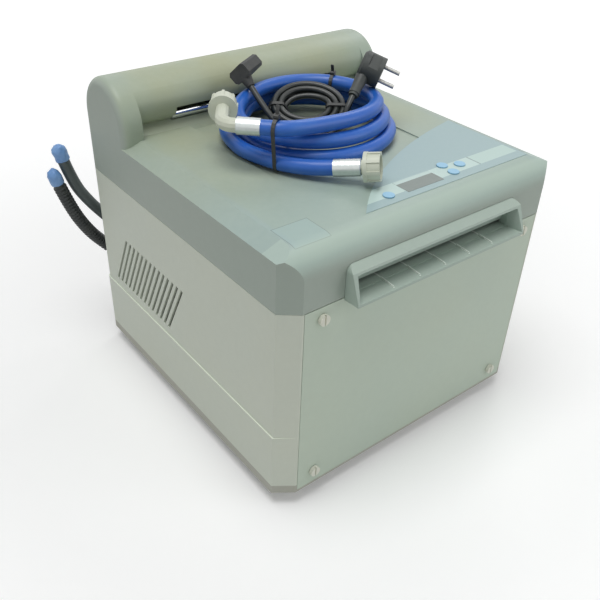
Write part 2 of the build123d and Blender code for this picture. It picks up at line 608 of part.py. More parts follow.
def roller_rack(y):
    """Pair of side plates with a turn-round guide at the foot, hung on the rim of its tank."""
    top = ROLLER_Z + DRIVE_ROLLER_RADIUS + 3
    low = TANK_FLOOR_Z + 6
    half_y = RACK_PLATE_LENGTH_Y / 2
    parts = None
    for side in (-1, 1):
        x0, x1 = sorted((side * RACK_HALF_WIDTH, side * (RACK_HALF_WIDTH + RACK_PLATE)))
        plate = box(x0, x1, y - half_y, y + half_y, low, top)
        foot = [e for e in plate.edges() if abs(e.center().Z - low) < 0.01 and abs(e.tangent_at(0.5).X) > 0.9]
        plate = chamfer(foot, 14)
        tab_x0, tab_x1 = sorted((side * (RACK_HALF_WIDTH + 1), side * (TANK_HALF_WIDTH + TANK_WALL + 2)))
        for tab_y in (y - half_y + 4, y + half_y - 4):
            plate += box(tab_x0, tab_x1, tab_y - 3, tab_y + 3, TANK_RIM_Z, TANK_RIM_Z + 2)
        plate -= along_x(SHAFT_RADIUS + RUNNING, x0 - 1, x1 + 1, y, ROLLER_Z)
        for offset in (-NIP_DISTANCE, NIP_DISTANCE):
            plate -= along_x(SHAFT_RADIUS + RUNNING, x0 - 1, x1 + 1, y + offset, ROLLER_Z)
        window = box(x0 - 1, x1 + 1, y - half_y + 8, y + half_y - 8, low + 40, ROLLER_Z - 30)
        plate -= window
        parts = plate if parts is None else parts + plate
    guide_radius = 18.0
    guide_z = low + 4 + guide_radius
    guide = along_x(guide_radius + 2, -RACK_HALF_WIDTH - 1, RACK_HALF_WIDTH + 1, y, guide_z)
    guide -= along_x(guide_radius, -RACK_HALF_WIDTH - 2, RACK_HALF_WIDTH + 2, y, guide_z)
    guide -= box(-RACK_HALF_WIDTH - 2, RACK_HALF_WIDTH + 2, y - 30, y + 30, guide_z, guide_z + 30)
    parts += guide
    for offset in (-half_y + 3, half_y - 3):
        parts += box(-RACK_HALF_WIDTH - 1, RACK_HALF_WIDTH + 1, y + offset - 1.5, y + offset + 1.5,
                     TANK_RIM_Z - 12, TANK_RIM_Z - 4)
    return parts


def rack_drive_roller(y):
    """Centre roller of a rack, with the nip gear on its left end and the train gear on its right end."""
    roller = along_x(DRIVE_ROLLER_RADIUS, -ROLLER_HALF_LENGTH, ROLLER_HALF_LENGTH, y, ROLLER_Z)
    roller += along_x(SHAFT_RADIUS, NIP_GEAR_X, TRAIN_X + GEAR_WIDTH, y, ROLLER_Z)
    roller += gear_along_x(NIP_MODULE, DRIVE_GEAR_TEETH, 0, NIP_GEAR_X, GEAR_WIDTH, y, ROLLER_Z)
    roller += gear_along_x(TRAIN_MODULE, TRAIN_TEETH, 0, TRAIN_X, GEAR_WIDTH, y, ROLLER_Z)
    return roller


def rack_nip_roller(y, tooth_at):
    """Thin roller pressed against the centre roller, driven by its gear."""
    roller = along_x(NIP_ROLLER_RADIUS, -ROLLER_HALF_LENGTH, ROLLER_HALF_LENGTH, y, ROLLER_Z)
    roller += along_x(SHAFT_RADIUS, NIP_GEAR_X, RACK_HALF_WIDTH + RACK_PLATE, y, ROLLER_Z)
    return roller + gear_along_x(NIP_MODULE, NIP_GEAR_TEETH, tooth_at, NIP_GEAR_X, GEAR_WIDTH, y, ROLLER_Z)


# ---------------------------------------------------------------- drive
PINION_DISTANCE = TRAIN_MODULE * (TRAIN_TEETH + PINION_TEETH) / 2
MOTOR_Y = IDLER_YS[1]
MOTOR_Z = ROLLER_Z - PINION_DISTANCE
MOTOR_RADIUS = 25.0
MOTOR_LENGTH = 22.0
PLATE_THICKNESS = 3.0
IDLER_PIN_RADIUS = 3.5


def idler_gear(y):
    gear = gear_along_x(TRAIN_MODULE, TRAIN_TEETH, 180 / TRAIN_TEETH, TRAIN_X, GEAR_WIDTH, y, ROLLER_Z)
    return gear - along_x(IDLER_PIN_RADIUS + RUNNING, TRAIN_X - 1, TRAIN_X + GEAR_WIDTH + 1, y, ROLLER_Z)


def drive_plate():
    """Upright steel plate beside the tanks; it carries the idler pins and the motor."""
    x0 = DRIVE_PLATE_X
    y0 = TANK_YS[0] - 30
    y1 = DRYER_Y + 30
    plate = box(x0, x0 + PLATE_THICKNESS, y0, y1, ROLLER_Z - 62, ROLLER_Z + 8)
    for y in (y0 + 14, y1 - 14):
        plate += box(x0, x0 + PLATE_THICKNESS, y - 14, y + 14, FOOT_HEIGHT + WALL, ROLLER_Z - 60)
        plate += box(x0, x0 + 18, y - 14, y + 14, FOOT_HEIGHT + WALL, FOOT_HEIGHT + WALL + 2)
    plate -= along_x(5, x0 - 1, x0 + 5, MOTOR_Y, MOTOR_Z)
    for y in IDLER_YS:
        plate += along_x(IDLER_PIN_RADIUS, TRAIN_X - 1.5, x0 + 1, y, ROLLER_Z)
        plate += along_x(IDLER_PIN_RADIUS + 2, TRAIN_X + GEAR_WIDTH + 0.3, x0 + 1, y, ROLLER_Z, 12)
    return plate


def drive_motor():
    """Flat synchronous gear motor on the outside of the drive plate."""
    x0 = DRIVE_PLATE_X + PLATE_THICKNESS
    motor = along_x(MOTOR_RADIUS, x0, x0 + MOTOR_LENGTH, MOTOR_Y, MOTOR_Z)
    for y in (MOTOR_Y - MOTOR_RADIUS - 3, MOTOR_Y + MOTOR_RADIUS + 3):
        motor += box(x0, x0 + 2, min(y, MOTOR_Y), max(y, MOTOR_Y), MOTOR_Z - 5, MOTOR_Z + 5)
    return motor - along_x(SHAFT_RADIUS + RUNNING, x0 - 1, x0 + 12, MOTOR_Y, MOTOR_Z)


def motor_pinion():
    x_end = DRIVE_PLATE_X + PLATE_THICKNESS + 11.5
    pinion = gear_along_x(TRAIN_MODULE, PINION_TEETH, 90 + 180 / PINION_TEETH, TRAIN_X, GEAR_WIDTH, MOTOR_Y, MOTOR_Z)
    return pinion + along_x(SHAFT_RADIUS, TRAIN_X + 1, x_end, MOTOR_Y, MOTOR_Z)


# ---------------------------------------------------------------- dryer
DRYER_TOP_Z = 312.0
DRYER_REAR_Y = 181.5
DRYER_FLOOR_Z = FOOT_HEIGHT + WALL
HEATER_Y = 150.0
HEATER_Z = 292.0
FIN_COUNT = 12
FIN_PITCH = 18.0
BLOWER_Y = 150.0
BLOWER_Z = 212.0
BLOWER_RADIUS = 36.0
BLOWER_HALF_WIDTH = 20.0
IMPELLER_RADIUS = 27.0


def dryer_frame():
    """Open frame behind the tanks: side plates on legs, two film guides and a rear wall."""
    frame = None
    front_y = DRYER_Y - 18
    for side in (-1, 1):
        x0, x1 = sorted((side * RACK_HALF_WIDTH, side * (RACK_HALF_WIDTH + RACK_PLATE)))
        plate = side_prism([(front_y, TANK_RIM_Z + 2), (front_y, DRYER_TOP_Z - 22), (front_y + 22, DRYER_TOP_Z),
                            (DRYER_REAR_Y, DRYER_TOP_Z), (DRYER_REAR_Y, DRYER_FLOOR_Z), (DRYER_REAR_Y - 18, DRYER_FLOOR_Z),
                            (DRYER_REAR_Y - 18, TANK_RIM_Z - 20), (front_y + 20, TANK_RIM_Z + 2)], RACK_PLATE / 2)
        plate = plate.moved(Location(((x0 + x1) / 2, 0, 0)))
        plate -= along_x(SHAFT_RADIUS + RUNNING, x0 - 1, x1 + 1, DRYER_Y, ROLLER_Z)
        plate += box(x0, x1, DRYER_REAR_Y - 18, DRYER_REAR_Y + 5, DRYER_FLOOR_Z, DRYER_FLOOR_Z + 2)
        frame = plate if frame is None else frame + plate
    half = RACK_HALF_WIDTH + 0.5
    guide_y = DRYER_Y + DRIVE_ROLLER_RADIUS + 1.5
    frame += box(-half, half, guide_y, guide_y + 1.5, ROLLER_Z + 4, DRYER_TOP_Z - 8)
    air_wall = box(-half, half, guide_y + 10, guide_y + 11.5, ROLLER_Z + 4, DRYER_TOP_Z)
    for i in range(9):
        x = (i - 4) * 26.0
        air_wall -= box(x - 9, x + 9, guide_y + 9, guide_y + 13, ROLLER_Z + 26, ROLLER_Z + 30)
    frame += air_wall
    frame += box(-half, half, DRYER_REAR_Y - 1.5, DRYER_REAR_Y, ROLLER_Z + 14, DRYER_TOP_Z)
    return frame


def dryer_roller():
    roller = along_x(DRIVE_ROLLER_RADIUS, -ROLLER_HALF_LENGTH, ROLLER_HALF_LENGTH, DRYER_Y, ROLLER_Z)
    roller += along_x(SHAFT_RADIUS, -RACK_HALF_WIDTH - RACK_PLATE, TRAIN_X + GEAR_WIDTH, DRYER_Y, ROLLER_Z)
    return roller + gear_along_x(TRAIN_MODULE, TRAIN_TEETH, 0, TRAIN_X, GEAR_WIDTH, DRYER_Y, ROLLER_Z)


def dryer_heater():
    """Finned rod heater across the dryer."""
    heater = along_x(4, -RACK_HALF_WIDTH, RACK_HALF_WIDTH, HEATER_Y, HEATER_Z, 8)
    for i in range(FIN_COUNT):
        x = (i - (FIN_COUNT - 1) / 2) * FIN_PITCH
        heater += box(x - 0.6, x + 0.6, HEATER_Y - 10, HEATER_Y + 10, HEATER_Z - 10, HEATER_Z + 10)
    return heater


def blower_housing():
    """Closed drum with an inlet on its left face and an outlet up into the dryer, on a foot at the rear panel."""
    drum = along_x(BLOWER_RADIUS, -BLOWER_HALF_WIDTH, BLOWER_HALF_WIDTH, BLOWER_Y, BLOWER_Z)
    drum += box(-BLOWER_HALF_WIDTH, BLOWER_HALF_WIDTH, BLOWER_Y - 4, BLOWER_Y + BLOWER_RADIUS, BLOWER_Z,
                ROLLER_Z + 12)
    cavity = along_x(IMPELLER_RADIUS + 3, -BLOWER_HALF_WIDTH + 2, BLOWER_HALF_WIDTH - 2, BLOWER_Y, BLOWER_Z)
    cavity += box(-BLOWER_HALF_WIDTH + 2, BLOWER_HALF_WIDTH - 2, BLOWER_Y - 2, BLOWER_Y + BLOWER_RADIUS - 2,
                  BLOWER_Z, ROLLER_Z + 13)
    drum -= cavity
    drum -= along_x(18, -BLOWER_HALF_WIDTH - 1, -BLOWER_HALF_WIDTH + 3, BLOWER_Y, BLOWER_Z)
    drum += along_x(11, BLOWER_HALF_WIDTH - 12, BLOWER_HALF_WIDTH + 14, BLOWER_Y, BLOWER_Z)
    drum -= along_x(2.5 + RUNNING, -BLOWER_HALF_WIDTH, BLOWER_HALF_WIDTH + 2, BLOWER_Y, BLOWER_Z)
    drum += box(-BLOWER_HALF_WIDTH, BLOWER_HALF_WIDTH, BLOWER_Y + BLOWER_RADIUS - 3, HALF_D - WALL,
                BLOWER_Z - 12, BLOWER_Z + 12)
    return drum


def blower_impeller():
    """Drum impeller: a back disc, a hub and a ring of blades."""
    x0 = -BLOWER_HALF_WIDTH + 3
    x1 = BLOWER_HALF_WIDTH - 12.5
    wheel = along_x(IMPELLER_RADIUS, x1 - 1.5, x1, BLOWER_Y, BLOWER_Z)
    wheel += along_x(6, x1 - 10, x1, BLOWER_Y, BLOWER_Z)
    wheel += along_x(2.5, x1 - 8, BLOWER_HALF_WIDTH, BLOWER_Y, BLOWER_Z)
    for i in range(16):
        blade = Pos((x0 + x1) / 2, 0, 0) * Box(x1 - x0, 1.2, 7)
        blade = Rot(i * 22.5, 0, 0) * Pos(0, 0, IMPELLER_RADIUS - 4.5) * Rot(30, 0, 0) * blade
        wheel += Pos(0, BLOWER_Y, BLOWER_Z) * blade
    return wheel


# ---------------------------------------------------------------- water and mains
SOCKET_BODY = (13.6, 10.0)
INLET_STUB = 20.0             # thread ends this far behind the rear panel
INLET_COLLAR = 1.0            # and begins this far behind it, above a slimmer neck
INLET_NECK_RADIUS = 11.0


def water_valve():
    """Solenoid valve behind the rear panel, with the threaded inlet standing out of it."""
    rear = HALF_D - WALL
    valve = along_y(INLET_THREAD_RADIUS, HALF_D + INLET_COLLAR, HALF_D + INLET_STUB, INLET_X, INLET_Z)
    valve += along_y(INLET_NECK_RADIUS, rear - 2, HALF_D + INLET_COLLAR, INLET_X, INLET_Z)
    valve += along_y(18, rear - 5, rear, INLET_X, INLET_Z)
    valve += box(INLET_X - 13, INLET_X + 13, rear - 42, rear - 4, INLET_Z - 13, INLET_Z + 13)
    valve += along_z(13, INLET_Z + 12, INLET_Z + 44, INLET_X, rear - 24)
    valve += along_y(6, rear - 54, rear - 40, INLET_X, INLET_Z)
    valve -= along_y(8, HALF_D - 6, HALF_D + INLET_STUB + 1, INLET_X, INLET_Z)
    return valve


def circulation_pump():
    """Small magnet-drive pump that stands on the base tray under the tanks."""
    floor = FOOT_HEIGHT + WALL
    pump = along_x(17, -30, 24, -40, floor + 22, 24)
    pump += along_x(12, 24, 40, -40, floor + 22, 16)
    pump += box(-26, 20, -52, -28, floor, floor + 10)
    pump += along_z(5, floor + 22, floor + 46, 32, -40, 10)
    pump += along_x(5, 38, 52, -40, floor + 22, 10)
    return pump


def mains_inlet():
    """Three-pole appliance inlet with its recess and pins, clipped into the rear panel."""
    bx, bz = SOCKET_BODY
    inlet = box(SOCKET_X - bx + 0.2, SOCKET_X + bx - 0.2, HALF_D - 24, HALF_D + 0.5, SOCKET_Z - bz + 0.2,
                SOCKET_Z + bz - 0.2)
    inlet += box(SOCKET_X - bx - 6, SOCKET_X + bx + 6, HALF_D, HALF_D + 2, SOCKET_Z - bz - 2, SOCKET_Z + bz + 2)
    inlet -= box(SOCKET_X - 12, SOCKET_X + 12, HALF_D - 14, HALF_D + 3, SOCKET_Z - 8, SOCKET_Z + 8)
    for x, z in ((-7, 1.5), (7, 1.5), (0, 5.2)):
        inlet += box(SOCKET_X + x - 1, SOCKET_X + x + 1, HALF_D - 15, HALF_D - 1, SOCKET_Z + z - 2, SOCKET_Z + z + 2)
    return inlet


# ---------------------------------------------------------------- hoses and mains lead
HOSE_RADIUS = 8.25
HOSE_SIDES = 6
HOSE_LAYER = 14.7             # a strand that nests on the two below it is this much higher
COIL_CENTRE = (0.0, 10.0)
COIL_BASE_Z = TOP_Z + HOSE_RADIUS + 0.35
# distance of each turn's strand from the coil's centre, turns from the top down
COIL_RADII = {"front": (65.5, 74.1, 82.7), "right": (78.5, 87.1, 95.7),
              "rear": (70.0, 78.6, 94.5), "left": (88.0, 79.4, 96.6)}
COIL_LAYERS = {"front": (2.2, 1.04, 0.0), "right": (2.0, 1.0, 0.0),
               "rear": (2.0, 1.0, 0.0), "left": (1.4, 0.0, 0.0)}
QUARTERS = ("front", "right", "rear", "left")
HOSE_ELBOW_END = ((-120.4, -19.6, 370.0), (-103.2, -37.1, 370.0))     # ferrule, from fitting to hose
HOSE_NUT_END = ((-36.9, -117.7, 340.5), (-55.0, -96.6, 336.3))
FERRULE_RADIUS = 9.2

LEAD_RADIUS = 3.5
LEAD_SIDES = 5
HANK_CENTRE = (10.0, 30.0, 345.8)
HANK_LONG = (0.8, -0.6, 0.0)          # long axis of the hank, down to the right front
HANK_TILT = 25.0                      # its rear edge lies up against the hose
HANK_HALF_LENGTH = 46.0
HANK_HALF_WIDTH = 40.0
HANK_PITCH = 7.8
HANK_LAYER = 7.7
HANK_FIRST_QUARTER = 1                # the lead joins the hank at its front
HANK_LOOPS = 5.25
HANK_MIDDLE = 2.75            # loop at which the lead turns outwards again
HANK_CLIMB_INWARD = 1.5       # the strand that climbs to the upper layer swings in by this
CONNECTOR_TAIL = ((-44.0, 65.0, 370.5), (-0.05, 0.78, 0.62))      # end of the lead and its direction
CONNECTOR_RUNS = (21.8, 27.0)         # straight runs at its two ends before their corners
PLUG_TAIL = ((42.5, -11.6, 366.0), (0.754, 0.337, 0.564))     # lead starts here, plug lies this way
PLUG_DROP = (22.3, -19.2, 337.7)      # corner where the lead turns in under the hose's top turn
PLUG_RUNS = (14.7, 17.7)

DRAIN_UPPER = [(-152.0, 209.0, 148.0), (-152.0, 227.0, 148.0), (-164.0, 241.0, 163.0),
               (-185.0, 240.0, 192.0), (-205.0, 233.0, 228.0), (-217.0, 229.0, 274.0)]
DRAIN_LOWER = [(-152.0, 209.0, 102.0), (-152.0, 230.0, 102.0), (-167.0, 244.0, 117.0),
               (-192.0, 240.0, 150.0), (-214.0, 233.0, 196.0), (-228.0, 230.0, 244.0)]


def unit(v):
    return Vector(*v).normalized()


def biarc(p0, t0, p1, t1):
    """Two arcs that leave p0 along t0 and reach p1 along t1."""
    v = p1 - p0
    t = t0 + t1
    spread = 2 * (1 - t0.dot(t1))
    if spread < 1e-9:
        d = v.dot(v) / (4 * v.dot(t1))
    else:
        d = (-v.dot(t) + math.sqrt(v.dot(t) ** 2 + spread * v.dot(v))) / spread
    joint = (p0 + t0 * d + p1 - t1 * d) * 0.5
    first = Edge.make_tangent_arc(p0, t0, joint)
    return [first, Edge.make_tangent_arc(joint, first.tangent_at(1), p1)]


def tube(edges, radius, sides):
    """Tube with flat sides swept along joined edges."""
    path = Wire(edges)
    start = Plane(origin=path.position_at(0), z_dir=path.tangent_at(0))
    section = start * RegularPolygon(radius, sides)
    return sweep(section, path=path)


def smooth_path(knots):
    """Biarcs through a list of (point, direction) knots."""
    edges = []
    for (p0, t0), (p1, t1) in zip(knots[:-1], knots[1:]):
        edges += biarc(p0, t0, p1, t1)
    return edges


def least_self_gap(edges, radius):
    """Smallest distance between strands of one path that lie side by side, less the diameter."""
    samples = []
    run = 0.0
    for edge in edges:
        count = max(2, int(edge.length / 2.5))
        for i in range(count):
            point = edge.position_at(i / count)
            samples.append((run + edge.length * i / count, point.X, point.Y, point.Z))
        run += edge.length
    least = 1e9
    for i, a in enumerate(samples):
        for b in samples[i + 1:]:
            if b[0] - a[0] > 10 * radius:
                least = min(least, (a[1] - b[1]) ** 2 + (a[2] - b[2]) ** 2 + (a[3] - b[3]) ** 2)
    return math.sqrt(least) - 2 * radius


def coil_knots():
    """Quarter-turn knots of the hose: three turns down from the elbow end to the nut end."""
    fitting, hose = (Vector(*p) for p in HOSE_ELBOW_END)
    knots = [(hose, (hose - fitting).normalized())]
    cx, cy = COIL_CENTRE
    for turn in range(3):
        for index, quarter in enumerate(QUARTERS):
            angle = math.radians(270 + 90 * index)
            radius = COIL_RADII[quarter][turn]
            z = COIL_BASE_Z + HOSE_LAYER * COIL_LAYERS[quarter][turn]
            place = Vector(cx + radius * math.cos(angle), cy + radius * math.sin(angle), z)
            knots.append((place, Vector(-math.sin(angle), math.cos(angle), 0)))
    fitting, hose = (Vector(*p) for p in HOSE_NUT_END)
    knots.append((hose, (fitting - hose).normalized()))
    return knots


def coil_edges():
    """Whole centre line of the inlet hose, straight inside its two ferrules."""
    first = [Vector(*p) for p in HOSE_ELBOW_END]
    last = [Vector(*p) for p in HOSE_NUT_END]
    return [Edge.make_line(first[0], first[1])] + smooth_path(coil_knots()) + [Edge.make_line(last[1], last[0])]


def hank_frame():
    """Axes of the hank: along, across (rising to the rear) and square to its plane."""
    along = unit(HANK_LONG)
    level = Vector(-along.Y, along.X, 0)
    tilt = math.radians(HANK_TILT)
    across = level * math.cos(tilt) + Vector(0, 0, math.sin(tilt))
    return along, across, along.cross(across)


def hank_edges():
    """Lead wound inwards in the lower layer, up a layer, and outwards again."""
    along, across, square = hank_frame()
    centre = Vector(*HANK_CENTRE)
    knots = []
    for i in range(HANK_FIRST_QUARTER, int(HANK_LOOPS * 4) + 1):
        loop = i / 4
        from_middle = max(abs(loop - HANK_MIDDLE), 0.25)
        inward = (HANK_MIDDLE - from_middle) * HANK_PITCH
        if loop == HANK_MIDDLE:
            inward += HANK_CLIMB_INWARD
        layer = min(max((loop - HANK_MIDDLE) * 2 + 0.5, 0), 1) - 0.5
        angle = -2 * math.pi * loop
        a = HANK_HALF_LENGTH - inward
        b = HANK_HALF_WIDTH - inward
        place = centre + along * (a * math.cos(angle)) + across * (b * math.sin(angle)) + square * (layer * HANK_LAYER)
        way = along * math.sin(angle) - across * math.cos(angle)
        knots.append((place, way.normalized()))
    first_place, first_way = knots[0]
    lead_in = first_place - first_way * (2 * LEAD_RADIUS)
    lead_out = knots[-1][0] + knots[-1][1] * (2 * LEAD_RADIUS)
    return ([Edge.make_line(lead_in, first_place)] + smooth_path(knots) + [Edge.make_line(knots[-1][0], lead_out)])


def corner_radii(points):
    """Radius at each corner of a free tube: as large as its two runs allow."""
    radii = []
    for a, b, c in zip(points[:-2], points[1:-1], points[2:]):
        turn = math.radians((b - a).get_angle(c - b))
        radii.append(0.45 * min((b - a).length, (c - b).length) / math.tan(turn / 2))
    return radii


def free_tube(points, radius, sides, name):
    """Tube along straight runs joined by tangent arcs; prints its radii and checks its volume."""
    places = [Vector(*p) for p in points]
    radii = corner_radii(places)
    path = FilletPolyline(*places, radius=radii)
    edges = path.edges()
    solid = tube(edges, radius, sides)
    section = 0.5 * sides * radius ** 2 * math.sin(2 * math.pi / sides)
    length = sum(e.length for e in edges)
    print(name, "radii", [round(r, 1) for r in radii], "length", round(length, 1),
          "volume ratio", round(solid.volume / (section * length), 4))
    return solid


def plug_tail_points():
    """From the mains plug down inside the hose coil to the front of the hank."""
    start = Vector(*PLUG_TAIL[0])
    end = hank_edges()[0].position_at(0)
    way = hank_edges()[0].tangent_at(0)
    first = start - unit(PLUG_TAIL[1]) * PLUG_RUNS[0]
    return [tuple(start), tuple(first), PLUG_DROP, tuple(end - way * PLUG_RUNS[1]), tuple(end)]


def connector_tail_points():
    """From the hank up to the appliance connector that lies on the hood."""
    start = hank_edges()[-1].position_at(1)
    way = hank_edges()[-1].tangent_at(1)
    end = Vector(*CONNECTOR_TAIL[0])
    return [tuple(start), tuple(start + way * CONNECTOR_RUNS[0]), tuple(end - unit(CONNECTOR_TAIL[1]) * CONNECTOR_RUNS[1]), tuple(end)]


def inlet_hose():
    edges = coil_edges()
    print("inlet hose length", round(sum(e.length for e in edges)), "least self gap",
          round(least_self_gap(edges, HOSE_RADIUS), 2))
    return tube(edges, HOSE_RADIUS, HOSE_SIDES)


def lead_hank():
    edges = hank_edges()
    print("lead in the hank", round(sum(e.length for e in edges)), "least self gap",
          round(least_self_gap(edges, LEAD_RADIUS), 2))
    return tube(edges, LEAD_RADIUS, LEAD_SIDES)


def on_axis(origin, way, *shapes):
    """Shapes made along +Z about the origin, moved to a place and a direction."""
    place = Plane(origin=origin, z_dir=way).location
    return place * Compound(children=list(shapes)) if len(shapes) > 1 else place * shapes[0]


def hose_ferrules():
    """Two bright crimped sleeves."""
    sleeves = []
    for fitting, hose in (HOSE_ELBOW_END, HOSE_NUT_END):
        start, end = Vector(*hose), Vector(*fitting)
        length = (end - start).length - 0.2
        sleeve = Cylinder(FERRULE_RADIUS, length) - Cylinder(HOSE_RADIUS + RUNNING, length)
        sleeve = Pos(0, 0, length / 2) * sleeve
        sleeves.append(on_axis(start, end - start, sleeve))
    return Compound(children=sleeves)


NUT_RADIUS = 15.5
NUT_LENGTH = 17.0
NUT_RIBS = 8
STEM_RADIUS = 7.5
ELBOW_TURN = ((-128.0, -1.5, 370.0), (-105.3, 28.5, 371.0))


def union_nut():
    """Ribbed plastic nut, open at the top, standing on the origin."""
    nut = Pos(0, 0, NUT_LENGTH / 2) * Cylinder(NUT_RADIUS - 1.2, NUT_LENGTH)
    nut += Pos(0, 0, 2) * Cylinder(NUT_RADIUS, 4)
    for i in range(NUT_RIBS):
        nut += Rot(0, 0, i * 360 / NUT_RIBS) * Pos(NUT_RADIUS - 1.2, 0, NUT_LENGTH / 2) * Box(2.4, 3, NUT_LENGTH)
    return nut - Pos(0, 0, NUT_LENGTH / 2 + 4) * Cylinder(INLET_THREAD_RADIUS - 0.5, NUT_LENGTH)


def hose_fittings():
    """Straight union nut on one end of the hose, elbow with union nut on the other."""
    fitting, hose = (Vector(*p) for p in HOSE_NUT_END)
    way = (fitting - hose).normalized()
    straight = Pos(0, 0, 1.5) * Cylinder(STEM_RADIUS, 3) + Pos(0, 0, 3) * union_nut()
    straight = on_axis(fitting, way, straight)
    fitting, hose = (Vector(*p) for p in HOSE_ELBOW_END)
    way = (fitting - hose).normalized()
    corner, nut_centre = (Vector(*p) for p in ELBOW_TURN)
    out = (nut_centre - corner).normalized()
    bend_start = fitting + way * 4
    bend_end = nut_centre - out * (NUT_LENGTH / 2 + 2)
    path = [Edge.make_line(fitting, bend_start)] + biarc(bend_start, way, bend_end, out)
    path.append(Edge.make_line(bend_end, bend_end + out * 3))
    elbow = tube(path, STEM_RADIUS, 12)
    elbow += on_axis(bend_end + out * 2, out, union_nut())
    return Compound(children=[straight, elbow])


TIE_WIDTH = 4.0
TIE_THICKNESS = 1.3
TIE_ANGLES = (212.0, 32.0)


def crossings(edges, origin, normal, reach, toward):
    """Points and directions where a path crosses a half plane that starts at the origin."""
    found = []
    for edge in edges:
        steps = max(4, int(edge.length / 2))
        for i in range(steps):
            a, b = edge.position_at(i / steps), edge.position_at((i + 1) / steps)
            da, db = (a - origin).dot(normal), (b - origin).dot(normal)
            if da * db <= 0 and da != db:
                point = a + (b - a) * (da / (da - db))
                if (point - origin).dot(toward) > 0 and (point - origin).length < reach:
                    found.append((point, edge.tangent_at((i + 0.5) / steps)))
    return found


def cable_tie(edges, radius, origin, toward, normal, reach):
    """Flat band drawn tight around every strand that crosses one half plane."""
    plane = Plane(origin=origin, x_dir=toward, z_dir=normal)
    inner, outer = [], []
    for point, way in crossings(edges, origin, normal, reach, toward):
        slant = max(abs(way.dot(normal)), 0.5)
        lean = TIE_WIDTH / 2 * math.tan(math.acos(min(1.0, slant)))
        local = plane.to_local_coords(point)
        clear = radius / slant * 0.5 + radius * 0.5 + lean + 0.25
        inner.append((local.X, local.Y, clear))
        outer.append((local.X, local.Y, clear + TIE_THICKNESS))
    band = None
    for sign, circles in ((1, outer), (-1, inner)):
        corners = []
        for x, y, r in circles:
            for i in range(16):
                corners.append((x + r * math.cos(math.pi * i / 8), y + r * math.sin(math.pi * i / 8)))
        sheet = extrude(plane * make_face(Polyline(*hull_corners(corners), close=True)), TIE_WIDTH / 2, both=True)
        band = sheet if sign == 1 else band - sheet
    return band


def hull_corners(points):
    """Convex hull of points in a plane, counterclockwise."""
    points = sorted(set((round(x, 4), round(y, 4)) for x, y in points))
    chains = []
    for ordered in (points, points[::-1]):
        chain = []
        for p in ordered:
            while len(chain) > 1:
                (ax, ay), (bx, by) = chain[-2], chain[-1]
                if (bx - ax) * (p[1] - ay) - (by - ay) * (p[0] - ax) > 1e-6:
                    break
                chain.pop()
            chain.append(p)
        chains.append(chain[:-1])
    return chains[0] + chains[1]


def cable_ties():
    """Two ties round the hose coil and two round the ends of the hank."""
    ties = []
    middle = Vector(COIL_CENTRE[0], COIL_CENTRE[1], COIL_BASE_Z + HOSE_LAYER)
    for degrees in TIE_ANGLES:
        angle = math.radians(degrees)
        toward = Vector(math.cos(angle), math.sin(angle), 0)
        normal = Vector(-math.sin(angle), math.cos(angle), 0)
        ties.append(cable_tie(coil_edges(), HOSE_RADIUS, middle, toward, normal, 140))
    along, across, square = hank_frame()
    for side in (-1, 1):
        origin = Vector(*HANK_CENTRE) + across * (-2.0)
        ties.append(cable_tie(hank_edges(), LEAD_RADIUS, origin, along * side, across * side, 70))
    return Compound(children=ties)


PLUG_HEAD_RADIUS = 17.5
PLUG_HEAD_LENGTH = 26.0
PLUG_BOOT_LENGTH = 42.0
PLUG_BOOT_RADII = (8.0, 5.5)
PLUG_BOOT_SET_BACK = 5.5       # boot axis behind the middle of the head
PIN_WAY = (0.574, -0.756, -0.315)
PIN_RADIUS = 2.4
PIN_LENGTH = 19.0
PIN_SPACING = 19.0


def mains_plug():
    """Angled two-pin plug: round head with flattened grips, tapered boot leaving it sideways."""
    half = PLUG_HEAD_LENGTH / 2
    head = Cylinder(PLUG_HEAD_RADIUS, PLUG_HEAD_LENGTH)
    head = chamfer(head.edges().filter_by(GeomType.CIRCLE).sort_by(Axis.Z)[0], 3)
    for side in (-1, 1):
        head -= Pos(0, side * PLUG_HEAD_RADIUS, 2) * Box(18, 5, 12)
        head += Pos(side * PIN_SPACING / 2, 0, half + PIN_LENGTH / 2 - 0.5) * Cylinder(PIN_RADIUS, PIN_LENGTH + 1)
    low = PLUG_BOOT_LENGTH - 10
    boot = Pos(PLUG_BOOT_LENGTH - low / 2, 0, -PLUG_BOOT_SET_BACK) * Rot(0, 90, 0) * Cone(*PLUG_BOOT_RADII, low)
    boot += Pos(PLUG_BOOT_LENGTH - 5, 0, -PLUG_BOOT_SET_BACK) * Rot(0, 90, 0) * Cylinder(PLUG_BOOT_RADII[1] + 1, 4)
    boot_end, to_head = Vector(*PLUG_TAIL[0]), unit(PLUG_TAIL[1])
    pins = unit(PIN_WAY)
    pins = (pins - to_head * pins.dot(to_head)).normalized()
    centre = boot_end + to_head * PLUG_BOOT_LENGTH + pins * PLUG_BOOT_SET_BACK
    return Plane(origin=centre, x_dir=-to_head, z_dir=pins).location * (head + boot)


HEAD_WAY = (0.81, 0.58, -0.04)


def mains_connector():
    """Angled appliance connector: tapered boot, rounded corner block, flat head with three slots."""
    start, way = Vector(*CONNECTOR_TAIL[0]), unit(CONNECTOR_TAIL[1])
    boot = on_axis(start, way, Pos(0, 0, 8) * Cone(LEAD_RADIUS + 1.2, 8, 16))
    corner = start + way * 20
    head_way = unit(HEAD_WAY)
    head = Box(16, 23, 44)
    head = chamfer([e for e in head.edges() if abs(e.tangent_at(0.5).Z) > 0.9], 3)
    for x, y in ((-2, -7), (-2, 7), (2.5, 0)):
        head -= Pos(x, y, 20) * Box(2.4, 4.4, 12)
    side = head_way.cross(way).normalized()
    place = Plane(origin=corner + head_way * 12, x_dir=side.cross(head_way), z_dir=head_way).location
    return boot + place * head


